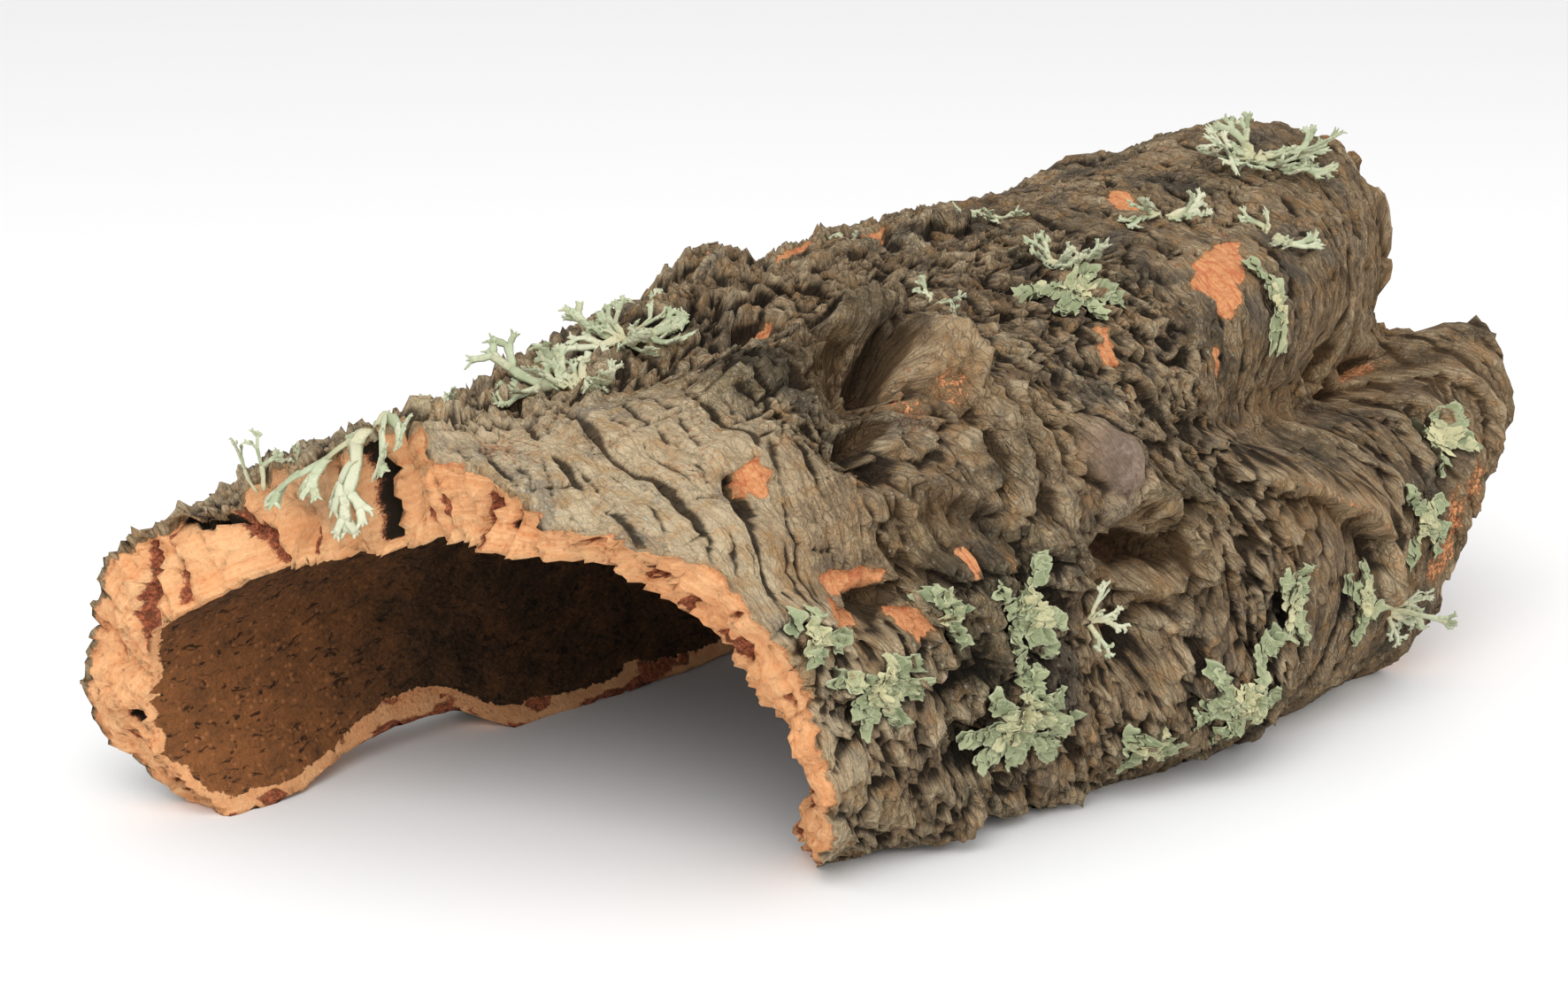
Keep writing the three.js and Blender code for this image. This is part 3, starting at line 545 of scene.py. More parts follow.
def shove(x, angle, height):
    # Sideways moves that make the plates' edges overhang: flakes of noise, and a lean in
    # proportion to the height, along the tunnel and round it, in mm
    arc = arcOf(angle)
    amount = crags["flakeShove"]
    lean = crags["lean"] * np.clip(height, -5, 5)
    along = amount * (noise(x / 4.5, arc / 7, 51) + 0.6 * noise(x / 2.1, arc / 3, 52))
    around = amount * (noise(x / 5, arc / 6, 53) + 0.6 * noise(x / 2.4, arc / 2.6, 54))
    return along - lean * noise(x / 40, arc / 50, 55), around + lean


# the torn ends

tear = {"rimRag": 1.5, "fineRag": 1.0, "ragReach": 9, "ringPitch": 2.3, "ringHeight": 0.12,
        # a torn face's length round the arch and its depth through the wall in mm
        "faceLength": 345, "faceDepth": 21.5,
        # how far a face slants from its outer to its inner rim, and its broad tears, in mm
        "slant": 3.5, "depth": 2.7,
        # pits in the near face: share round, share through, reach round, reach through, depth
        "pits": [[0.15, 0.4, 0.035, 0.4, 5], [0.33, 0.5, 0.03, 0.5, 6], [0.47, 0.5, 0.03, 0.6, 8],
                 [0.56, 0.5, 0.03, 0.5, 5], [0.9, 1, 0.04, 0.5, 12]],
        # folds from rim to rim: how many round the arch, and how far they reach at each rim in mm
        "folds": 27, "outerFold": 2.2, "innerFold": 4.6,
        # lips and notches of the far rim: share round, half width, reach in mm
        "lips": [[0.655, 0.020, 9], [0.60, 0.012, 4], [0.70, 0.008, -7], [0.5, 0.02, 4], [0.80, 0.02, 5]],
        # crumbly wedges that open towards the inside: share round, lean, where they start and end
        # through the wall, half width at their start and at their end in mm, depth, share of black painted as
        # shade
        "wedges": [[0.03, 0.02, 0.25, 0.95, 0.8, 2.6, 4.0, 0.2], [0.08, -0.08, 0.0, 0.7, 0.5, 1.3, 3.0, 0.2],
                   [0.102, 0.0, 0.66, 1.1, 1.8, 2.8, 6.0, 0.95],
                   [0.216, -0.06, 0.08, 1.02, 0.6, 7.6, 5.0, 0.15],
                   [0.243, -0.02, 0.12, 0.95, 0.5, 1.6, 3.5, 0.3],
                   [0.297, 0.014, 0.0, 1.0, 1.0, 2.0, 4.5, 0.3],
                   [0.353, 0.0, 0.3, 0.95, 0.6, 1.9, 3.5, 0.25], [0.413, 0.01, 0.05, 0.9, 0.6, 1.0, 3.0, 0.3],
                   [0.447, 0.0, -0.1, 0.95, 3.2, 4.2, 9.0, 1.0], [0.492, 0.01, 0.3, 0.97, 0.7, 1.8, 3.5, 0.5],
                   [0.52, 0.01, 0.1, 0.9, 0.5, 0.9, 2.0, 0.2], [0.568, 0.0, 0.22, 1.08, 3.2, 4.4, 5.0, 0.15],
                   [0.598, 0.0, 0.3, 0.66, 0.8, 1.3, 3.0, 0.9], [0.868, 0.0, 0.5, 1.15, 1.5, 5.0, 6.5, 0.2],
                   [0.905, 0.01, 0.5, 1.15, 1.5, 3.6, 6.0, 0.2],
                   [0.93, -0.01, 0.42, 1.15, 1.5, 4.2, 6.0, 0.15],
                   [0.965, 0.0, 0.5, 1.15, 1.5, 3.0, 5.0, 0.15]],
        # crumbly seams along the wall: share round from and to, share through, depth
        "seams": [[0.60, 0.86, 0.75, 3.0], [0.16, 0.25, 0.92, 3.0], [0.0, 0.1, 0.75, 3.5]],
        # hollows under the rind: share round, share through, half length round in mm, half depth, depth; each
        # is painted black as shade
        "hollows": [[0.270, 0.14, 7.0, 0.11, 7.0]]}


def tornField(v, w):
    # How far a place of the torn face lies in a crumbly wedge, how black it is painted as shade in deep
    # wedges and hollows, 0 to 1, and the depth dug there. A wedge's half width grows evenly from its start to
    # its end.
    mask, black, depth = 0.0, 0.0, 0.0
    length = tear["faceLength"]
    ragged = 0.9 * noise(v * 170, w * 8, 61) + 0.6 * noise(v * 380, w * 17, 62)
    for at, lean, start, stop, narrow, wide, deep, dark in tear["wedges"]:
        share = np.clip((w - start) / (stop - start), 0, 1)
        half = narrow + (wide - narrow) * share
        away = np.abs((v - at - lean * (w - 0.5)) * length) + ragged
        inside = fade((half - away) / 0.9 + 0.5) * fade((w - start) / 0.06) * fade((stop - w) / 0.06)
        mask = np.maximum(mask, inside)
        black = np.maximum(black, inside * dark)
        depth = np.maximum(depth, deep * inside * (0.75 + 0.25 * np.minimum(1, (half - away) / 2)))
    patchy = noise(v * 62, w * 3.2, 63) + 0.45 * noise(v * 170, w * 9, 64)
    for first, last, through, deep in tear["seams"]:
        near = fade((patchy - 0.05 - 1.6 * np.abs(w - through)) / 0.16)
        inside = fade((v - first) / 0.03) * fade((last - v) / 0.03) * near
        mask = np.maximum(mask, inside)
        depth = np.maximum(depth, deep * inside)
    for at, through, half, thin, deep in tear["hollows"]:
        away = np.hypot((v - at) * length / half, (w - through) / thin) + 0.16 * ragged
        inside = fade((1.1 - away) / 0.3)
        black = np.maximum(black, inside)
        depth = np.maximum(depth, deep * inside)
    return mask, black, depth


def edgeX(v, w, far):
    # The station of a torn end at a share round and through the wall: its outline, a slant, broad
    # tears, and the near end's pits. With it comes the rag: folds from rim to rim and finer noise,
    # which fade off into the skin
    seed = 91 if far else 93
    t = tear["folds"] * (v + 0.012 * noise(v * 9, w * 2, seed))
    rag = (1 - w) * tear["outerFold"] * polyline(t, seed) + w * tear["innerFold"] * polyline(t + 0.3,
                                                                                             seed + 1)
    rag = rag + 1.5 * polyline(3.3 * t, seed + 2) * (0.3 + 0.7 * w) + 0.8 * polyline(8.7 * t, seed + 3) * w
    rag = rag + tear["rimRag"] * cloud(v * 85, w * 3, seed - 26)
    rag = rag + tear["fineRag"] * noise(v * 260, w * 9, seed - 25)
    torn = tear["depth"] * noise(v * 30, w * 2, 5 if far else 4)
    if far:
        for at, half, reach in tear["lips"]:
            rag = rag + reach * np.exp(-((v - at) / half) ** 2) * (1 + 0.4 * noise(v * 160, w * 3, 69))
        return curve(form["farEdge"], v) - tear["slant"] * w + torn, rag
    pit = 0.0
    for pv, pw, rv, rw, depth in tear["pits"]:
        pit = pit + depth * np.exp(-((v - pv) / rv) ** 2 - ((w - pw) / rw) ** 2)
    return curve(form["nearEdge"], v) + tear["slant"] * w + pit + torn, rag


def barkPoint(x, v, w):
    # A point of the wall at a station, share round and share through: the outside with its crags
    # and the inside with its low grain, joined straight through the wall
    outAngle = angleAt("outer", x, v)
    inAngle = angleAt("inner", x, v)
    height, cork, knot, tone, crack = relief(x, outAngle)
    hem = fade(np.minimum(v, 1 - v) / 0.02)
    along, around = shove(x, outAngle, height)
    moved = outAngle + around * hem / (form["arcScale"] * rad)
    outer = sectionPoint(x, moved, outerRadius(x, outAngle) + height * (0.35 + 0.65 * hem))
    outer[..., 0] += along * hem
    grain = (0.8 * cloud(x / 16, inAngle / 4, 71) + 0.5 * creased(x / 14, inAngle / 1.6, 72)
             + 0.35 * noise(x / 2.4, inAngle / 1.6, 73))
    inner = sectionPoint(x, inAngle, innerRadius(x, inAngle) + grain)
    w = w[..., None] if np.ndim(w) else w
    found = outer * (1 - w) + inner * w
    return found, height, cork, knot, tone, crack


def settle(points, v):
    # Brings the two foot edges to the ground or to their own broken height above it
    for side, name in ((0, "footLeft"), (1, "footRight")):
        at = v == side
        x = points[at][:, 0]
        rag = np.maximum(0, 3.4 * cloud(x / 7, 0.0 * x, 75) + 1.5 * polyline(x / 2.6, 76))
        points[at, 2] = np.maximum(0, curve(form[name], x)) + rag * fade((230 - np.abs(x)) / 20)
    points[..., 2] = np.maximum(0, points[..., 2])
    return points


# making meshes

def makeMesh(name, points, quads, attributes=None, smooth=True):
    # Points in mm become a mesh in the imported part's place, in metres
    mesh = bpy.data.meshes.new(name)
    points = (points + shift) * toMetres
    quads = np.asarray(quads, np.int32)
    mesh.vertices.add(len(points))
    mesh.vertices.foreach_set("co", points.astype(np.float32).ravel())
    mesh.loops.add(quads.size)
    mesh.loops.foreach_set("vertex_index", quads.ravel())
    mesh.polygons.add(len(quads))
    mesh.polygons.foreach_set("loop_start", np.arange(0, quads.size, quads.shape[1], dtype=np.int32))
    mesh.update(calc_edges=True)
    for key, values in (attributes or {}).items():
        layer = mesh.attributes.new(key, "FLOAT", "POINT")
        layer.data.foreach_set("value", np.asarray(values, np.float32).ravel())
    mesh.polygons.foreach_set("use_smooth", np.full(len(quads), smooth))
    mesh.validate()
    made = bpy.data.objects.new(name, mesh)
    bpy.context.scene.collection.objects.link(made)
    return made


def gridQuads(index):
    # The four corners of each cell of a grid of vertex numbers
    return np.stack([index[:-1, :-1], index[1:, :-1], index[1:, 1:], index[:-1, 1:]], -1).reshape(-1, 4)


def blurred(values, reach):
    # A running mean over a window in both directions of a grid, its ends repeated
    window = 2 * reach + 1
    for axis in (0, 1):
        padded = np.pad(values, [(reach, reach) if a == axis else (0, 0) for a in (0, 1)], mode="edge")
        total = np.insert(np.cumsum(padded, axis=axis), 0, 0, axis=axis)
        at = np.arange(values.shape[axis])
        values = (np.take(total, at + window, axis) - np.take(total, at, axis)) / window
    return values


barkMesh = {"stepsAlong": 520, "stepsRound": 500, "stepsThrough": 30, "keptTriangles": 196000,
            # the lengths that the finish reads, in mm: round the arch, and through the wall to the
            # chips' lattice, to the middle of a foot and to the inside
            "roundLength": 340, "chipDepth": 21, "footDepth": 11, "insideDepth": 22,
            # chips of the torn faces, in the order that plateField takes
            "chips": [[13, 9, 1.6, 1.5, 0.5, 0.35], [3.2, 2.4, 0.25, 0.3, 0.15, 0.3]]}


def skinStations(u, v, w):
    # The stations of the wall's outside or inside, in rows from the near rim to the far rim
    near, nearRag = edgeX(v, w, False)
    far, farRag = edgeX(v, w, True)
    x = near + (far - near) * u
    nearShare, farShare = 1 - fade((x - near) / tear["ragReach"]), 1 - fade((far - x) / tear["ragReach"])
    return x + nearRag * nearShare + farRag * farShare


def tornFace(v, w, far):
    # A torn end in rows through the wall: its points, how crumbly it is, how black it is painted as shade,
    # and each row's depth in mm. Chips, crumbs and growth rings go inwards, most in the middle of the wall
    base, rag = edgeX(v, w, far)
    mask, black, dug = tornField(0.93 - v if far else v, w)
    crumble = cloud(v * 150, w * 9, 81 + far, 3)
    fine = noise(v * 230, w * 14, 88)
    chips = plateField(v * tear["faceLength"], w * barkMesh["chipDepth"], barkMesh["chips"], 400 + 50 * far,
                       1.0)[0]
    depth = w * tear["faceDepth"]
    rings = np.sin((depth + 1.6 * noise(v * 22, w * 3, 83)) * 2 * np.pi / tear["ringPitch"])
    inwards = (dug + chips + 0.3 * crumble + 3.2 * mask * crumble + 1.2 * mask * fine
               + tear["ringHeight"] * rings * (1 - mask)) * np.sin(np.pi * w) ** 0.5
    points = barkPoint(base + rag + (-inwards if far else inwards), v, w)[0]
    return points, mask, black, depth


def numbered(blocks):
    # A grid of vertex numbers for each block of points, counting on from block to block
    starts = np.cumsum([0] + [b.shape[0] * b.shape[1] for b in blocks])
    return [np.arange(a, b).reshape(block.shape[:2]) for a, b, block in zip(starts, starts[1:], blocks)]


def makeBark():
    # Six blocks share their rims: outside, inside, near face, far face, left foot and right foot
    nu, nv, nw = barkMesh["stepsAlong"], barkMesh["stepsRound"], barkMesh["stepsThrough"]
    u, v = np.linspace(0, 1, nu + 1)[:, None], np.linspace(0, 1, nv + 1)[None, :]
    vAll = np.broadcast_to(v, (nu + 1, nv + 1))
    outerX, innerX = skinStations(u, v, 0.0), skinStations(u, v, 1.0)
    outer, height, cork, knot, tone, crack = barkPoint(outerX, vAll, 0.0)
    inner = barkPoint(innerX, vAll, 1.0)[0]
    thick = np.linspace(0, 1, nw + 1)[1:-1]
    vFace = np.broadcast_to(v, (nw - 1, nv + 1))
    wFace = np.broadcast_to(thick[:, None], vFace.shape)
    nearFace, nearMask, nearGapShade, nearDepth = tornFace(vFace, wFace, False)
    farFace, farMask, farGapShade, farDepth = tornFace(vFace, wFace, True)
    through = thick[:, None, None]
    feet = [(outer[:, at][None] * (1 - through) + inner[:, at][None] * through)[:, 1:-1] for at in (0, nv)]
    blocks = [outer, inner, nearFace, farFace] + feet

    index = numbered(blocks)
    nearIndex = np.vstack([index[0][0], index[2], index[1][0]])
    farIndex = np.vstack([index[0][-1], index[3], index[1][-1]])
    footIndex = []
    for at, foot in ((0, index[4]), (-1, index[5])):
        middle = np.hstack([nearIndex[1:-1, at][:, None], foot, farIndex[1:-1, at][:, None]])
        footIndex.append(np.vstack([index[0][:, at], middle, index[1][:, at]]))
    quads = np.vstack([gridQuads(index[0])[:, ::-1], gridQuads(index[1]), gridQuads(nearIndex),
                       gridQuads(farIndex)[:, ::-1], gridQuads(footIndex[0])[:, ::-1],
                       gridQuads(footIndex[1])])

    def overAll(*values):
        # Values of all points: a number stands for a whole block, and blocks left out get 0
        values = list(values) + [0] * (len(blocks) - len(values))
        parts = [np.broadcast_to(a, b.shape[:2]).astype(float).ravel() for a, b in zip(values, blocks)]
        return np.concatenate(parts)

    share = overAll(vAll, vAll, vFace, vFace, 0, 1)
    points = settle(np.vstack([b.reshape(-1, 3) for b in blocks]), share)

    # masks for the finish
    # painted shade: the finish darkens the bark where its height lies below the blurred height, in hollows
    cavityShade = (0.75 * np.clip((blurred(height, 3) - height) / 1.6, 0, 1)
              + 0.7 * np.clip((blurred(height, 9) - height) / 3.5, 0, 1)
              + 0.5 * np.clip((blurred(height, 22) - height - 1.5) / 6, 0, 1))
    # painted light: the finish makes the bark paler where its height stands above the blurred height, on
    # crests
    crownLight = np.clip((height - blurred(height, 8)) / 2.4, 0, 1)
    rim = 1 - fade(np.minimum(outerX - outerX[:1], outerX[-1:] - outerX) / 1.5)
    innerRim = 1 - fade((np.minimum(innerX - innerX[:1], innerX[-1:] - innerX) - 1.5) / 3.0)
    ragged = 4.5 * cloud(innerX / 14, 0 * vAll, 86) + noise(innerX / 2.5, vAll * 90, 87)
    footRim = 1 - fade((np.minimum(vAll, 1 - vAll) * barkMesh["roundLength"] - 6.5 - ragged) / 1.2)
    brokenStrip = fade((cloud(innerX / 9, vAll * 55, 95) - 0.08) / 0.14)
    crusted = [fade((wFace - 0.06 - 0.06 * noise(vFace * 60, wFace * 2, 85 + k)) / 0.03) for k in (0, 1)]
    weathered = (np.exp(-((vFace - 0.37) / 0.055) ** 2)
                 * fade((0.75 - wFace + 0.2 * noise(vFace * 40, wFace * 3, 89)) / 0.3))
    footDepth = barkMesh["footDepth"]
    made = makeMesh("bark_shell", points, quads, {
        "cork": overAll(np.maximum(cork, 0.3 * rim), np.maximum(innerRim, 0.95 * footRim), *crusted, 1, 1),
        "inside": overAll(0, 1), "hollow": overAll(cavityShade), "crownLight": overAll(crownLight), "knot": overAll(knot),
        "plate": overAll(tone), "crack": overAll(crack),
        "pit": overAll(0, 0.9 * footRim * brokenStrip, nearMask, farMask, 0.35, 0.35),
        "black": overAll(0, 0, nearGapShade, farGapShade), "weather": overAll(0, 0, weathered),
        "depth": overAll(0, barkMesh["insideDepth"], nearDepth, farDepth, footDepth, footDepth),
        "along": points[:, 0], "round": share * barkMesh["roundLength"]})
    thinner = made.modifiers.new("thinner", "DECIMATE")
    thinner.ratio = barkMesh["keptTriangles"] / (len(quads) * 2)
    thinner.use_collapse_triangulate = True
    bpy.context.view_layer.objects.active = made
    made.select_set(True)
    bpy.ops.object.modifier_apply(modifier=thinner.name)
    made.data.polygons.foreach_set("use_smooth", np.ones(len(made.data.polygons), bool))
    return made


bark = makeBark()
print("bark mesh:", len(bark.data.polygons), "triangles")


# finishes: small tools for building node trees

def linear(colour):
    # A screen colour of 0 to 255 as the linear colour that a shader wants
    c = np.array(colour, float) / 255
    c = np.where(c <= 0.04045, c / 12.92, ((c + 0.055) / 1.055) ** 2.4)
    return (float(c[0]), float(c[1]), float(c[2]), 1.0)


def plug(tree, node, inputs):
    # Sockets are linked to a node's inputs; numbers and colours are set on them
    for key, value in inputs.items():
        if isinstance(value, bpy.types.NodeSocket):
            tree.links.new(value, node.inputs[key])
        else:
            node.inputs[key].default_value = value


def addNode(tree, kind, settings=None, inputs=None):
    made = tree.nodes.new(kind)
    for key, value in (settings or {}).items():
        setattr(made, key, value)
    plug(tree, made, inputs or {})
    return made


def mathOf(tree, operation, a, b=0.0):
    return addNode(tree, "ShaderNodeMath", {"operation": operation}, {0: a, 1: b}).outputs[0]


def productOf(tree, first, *others):
    for other in others:
        first = mathOf(tree, "MULTIPLY", first, other)
    return first


def sumOf(tree, *parts):
    # The sum of value times weight over pairs
    total = None
    for value, weight in parts:
        term = mathOf(tree, "MULTIPLY", value, weight)
        total = term if total is None else mathOf(tree, "ADD", total, term)
    return total


def restOf(tree, value, share=1.0, whole=1.0):
    # What a share of a value leaves of a whole
    return mathOf(tree, "SUBTRACT", whole, mathOf(tree, "MULTIPLY", value, share))


def mixOf(tree, share, a, b):
    return addNode(tree, "ShaderNodeMix", {"data_type": "RGBA"}, {0: share, 6: a, 7: b}).outputs[2]


def painted(tree, base, *layers):
    # A base with colours laid over it in turn: a layer is a colour, then the values whose product
    # is its strength
    for colour, *shares in layers:
        base = mixOf(tree, productOf(tree, *shares), base, colour)
    return base


def placeOf(tree, a, b, c=0.0):
    return addNode(tree, "ShaderNodeCombineXYZ", None, {0: a, 1: b, 2: c}).outputs[0]


def noiseOf(tree, place, scale, detail, roughness=0.5, distortion=0.0):
    # Cloudy noise as a node with the outputs Fac and Color
    return addNode(tree, "ShaderNodeTexNoise", None, {
        "Vector": place, "Scale": scale, "Detail": detail, "Roughness": roughness,
        "Distortion": distortion}).outputs


def dress(tree, shader, colour, roughness, height, strength, distance):
    # A shader's colour and roughness, a weak shine, and a bump whose distance is in metres
    bump = addNode(tree, "ShaderNodeBump", None,
                   {"Strength": strength, "Distance": distance, "Height": height})
    plug(tree, shader, {"Base Color": colour, "Roughness": roughness, "Specular IOR Level": 0.2,
                        "Normal": bump.outputs[0]})


def rampOf(tree, value, stops, low=0.0, high=1.0):
    # A colour ramp from stops of [place, screen colour], over values from low to high
    if (low, high) != (0.0, 1.0):
        value = mathOf(tree, "DIVIDE", mathOf(tree, "SUBTRACT", value, low), high - low)
        stops = [[(place - low) / (high - low), colour] for place, colour in stops]
    made = addNode(tree, "ShaderNodeValToRGB", None, {0: value})
    bar = made.color_ramp.elements
    bar[0].position, bar[0].color = stops[0][0], linear(stops[0][1])
    bar[1].position, bar[1].color = stops[-1][0], linear(stops[-1][1])
    for place, colour in stops[1:-1]:
        bar.new(place).color = linear(colour)
    return made.outputs[0]


def stepOf(tree, value, low, high):
    # 0 below low, 1 above high and smooth between
    made = addNode(tree, "ShaderNodeMapRange", {"interpolation_type": "SMOOTHSTEP"},
                   {"Value": value, "From Min": low, "From Max": high})
    return made.outputs[0]


def attributeOf(tree, name):
    return addNode(tree, "ShaderNodeAttribute", {"attribute_name": name}).outputs["Fac"]


def newGroup(name, inputs, outputs):
    # A node group with named inputs [name, kind, value] and outputs [name, kind]
    group = bpy.data.node_groups.new(name, "ShaderNodeTree")
    for label, kind, value in inputs:
        made = group.interface.new_socket(name=label, in_out="INPUT", socket_type=kind)
        if value is not None:
            made.default_value = value
    for label, kind in outputs:
        group.interface.new_socket(name=label, in_out="OUTPUT", socket_type=kind)
    return group, group.nodes.new("NodeGroupInput"), group.nodes.new("NodeGroupOutput")


def makeMottle():
    # Mottle: two clouds, one coarse and one fine, and scattered specks, all in millimetres
    group, given, out = newGroup("mottle", [
        ["Coarse Size", "NodeSocketFloat", 12.0], ["Fine Size", "NodeSocketFloat", 1.5],
        ["Speck Size", "NodeSocketFloat", 1.2], ["Speck Share", "NodeSocketFloat", 0.25]],
        [["Coarse", "NodeSocketFloat"], ["Fine", "NodeSocketFloat"], ["Specks", "NodeSocketFloat"]])
    place = addNode(group, "ShaderNodeTexCoord").outputs["Object"]
    inMm = addNode(group, "ShaderNodeVectorMath", {"operation": "SCALE"},
                   {0: place, "Scale": 1000.0}).outputs[0]
    for label, detail, size in (("Coarse", 4.0, "Coarse Size"), ("Fine", 5.0, "Fine Size")):
        scale = mathOf(group, "DIVIDE", 1.0, given.outputs[size])
        group.links.new(noiseOf(group, inMm, scale, detail, 0.62)["Fac"], out.inputs[label])
    scale = mathOf(group, "DIVIDE", 1.0, given.outputs["Speck Size"])
    grains = addNode(group, "ShaderNodeTexVoronoi", None, {"Vector": inMm, "Scale": scale}).outputs
    chosen = addNode(group, "ShaderNodeSeparateColor", None, {0: grains["Color"]}).outputs[0]
    few = mathOf(group, "LESS_THAN", chosen, given.outputs["Speck Share"])
    near = stepOf(group, grains["Distance"], 0.45, 0.2)
    group.links.new(productOf(group, few, near), out.inputs["Specks"])
    return group


mottle = makeMottle()


def mottleOf(tree, coarse, fine, speck, share):
    made = addNode(tree, "ShaderNodeGroup", {"node_tree": mottle}, {
        "Coarse Size": coarse, "Fine Size": fine, "Speck Size": speck, "Speck Share": share})
    return made.outputs["Coarse"], made.outputs["Fine"], made.outputs["Specks"]


def newMaterial(name):
    made = bpy.data.materials.new(name)
    made.use_nodes = True
    tree = made.node_tree
    tree.nodes.clear()
    shader = addNode(tree, "ShaderNodeBsdfPrincipled")
    out = addNode(tree, "ShaderNodeOutputMaterial")
    tree.links.new(shader.outputs[0], out.inputs[0])
    return made, tree, shader


barkFinish = {
    # the first colour here is near-black: painted shade in hollows, holes and cracks, and also the black
    # flecks inside
    "crevice": (29, 23, 17), "darkRind": (70, 58, 44), "brownRind": (112, 93, 70), "midRind": (152, 130, 102),
    "tanRind": (184, 159, 125), "paleRind": (206, 186, 152), "crust": (204, 206, 192), "moss": (98, 98, 58),
    "ochre": (184, 142, 94), "stain": (66, 60, 50), "slate": (118, 112, 104), "rust": (176, 104, 64),
    "knotDark": (84, 70, 64), "knotSkin": (112, 96, 88), "knotPale": (150, 134, 122),
    "corkLine": (186, 114, 72), "corkMid": (226, 156, 104), "corkPale": (244, 192, 140),
    "patchDark": (140, 80, 52), "patchCork": (198, 132, 86), "patchPale": (224, 168, 120),
    # on the next line, the last colour is black painted as shade in deep gaps of the torn faces
    "weathered": (196, 160, 122), "pitDark": (96, 46, 33), "pitRed": (186, 100, 68), "pitShade": (38, 30, 20),
    "innerDark": (32, 23, 16), "innerMid": (78, 55, 36), "innerWarm": (150, 96, 56),
}


def makeCrackle():
    # Crackle: fibres and two sizes of fine cracks on the unrolled skin. Along and Round are its two
    # lengths in mm; Pitch is the fibres' own size and Stretch how far all is drawn out round the arch
    group, given, out = newGroup("crackle", [
        ["Along", "NodeSocketFloat", 0.0], ["Round", "NodeSocketFloat", 0.0],
        ["Pitch", "NodeSocketFloat", 1.0],
        ["Stretch", "NodeSocketFloat", 4.0]],
        [["Fibres", "NodeSocketFloat"], ["Cracks", "NodeSocketFloat"], ["Height", "NodeSocketFloat"]])
    across, around = (mathOf(group, "DIVIDE", given.outputs[key],
                             given.outputs["Pitch"]) for key in ("Along", "Round"))
    place = placeOf(group, across, mathOf(group, "DIVIDE", around, given.outputs["Stretch"]))
    warp = noiseOf(group, place, 0.35, 3.0)
    moved = addNode(group, "ShaderNodeVectorMath", {"operation": "MULTIPLY_ADD"},
                    {0: warp["Color"], 1: (2.4, 1.6, 0.0), 2: place}).outputs[0]
    fibres = noiseOf(group, moved, 0.9, 6.0, 0.68)["Fac"]
    wide, thin = (addNode(group, "ShaderNodeTexVoronoi", {"feature": "DISTANCE_TO_EDGE"},
                          {"Vector": moved, "Scale": scale}).outputs["Distance"] for scale in (0.26, 0.62))
    shown = stepOf(group, warp["Fac"], 0.42, 0.58)
    thinLine = productOf(group, stepOf(group, thin, 0.09, 0.0), shown, 0.7)
    cracks = mathOf(group, "MAXIMUM", stepOf(group, wide, 0.07, 0.0), thinLine)
    for value, label in ((fibres, "Fibres"), (cracks, "Cracks"),
                         (restOf(group, cracks, 0.7, fibres), "Height")):
        group.links.new(value, out.inputs[label])
    return group


crackle = makeCrackle()


def crackleOf(tree, along, around, pitch, stretch):
    made = addNode(tree, "ShaderNodeGroup", {"node_tree": crackle}, {
        "Along": along, "Round": around, "Pitch": pitch, "Stretch": stretch})
    return made.outputs["Fibres"], made.outputs["Cracks"], made.outputs["Height"]


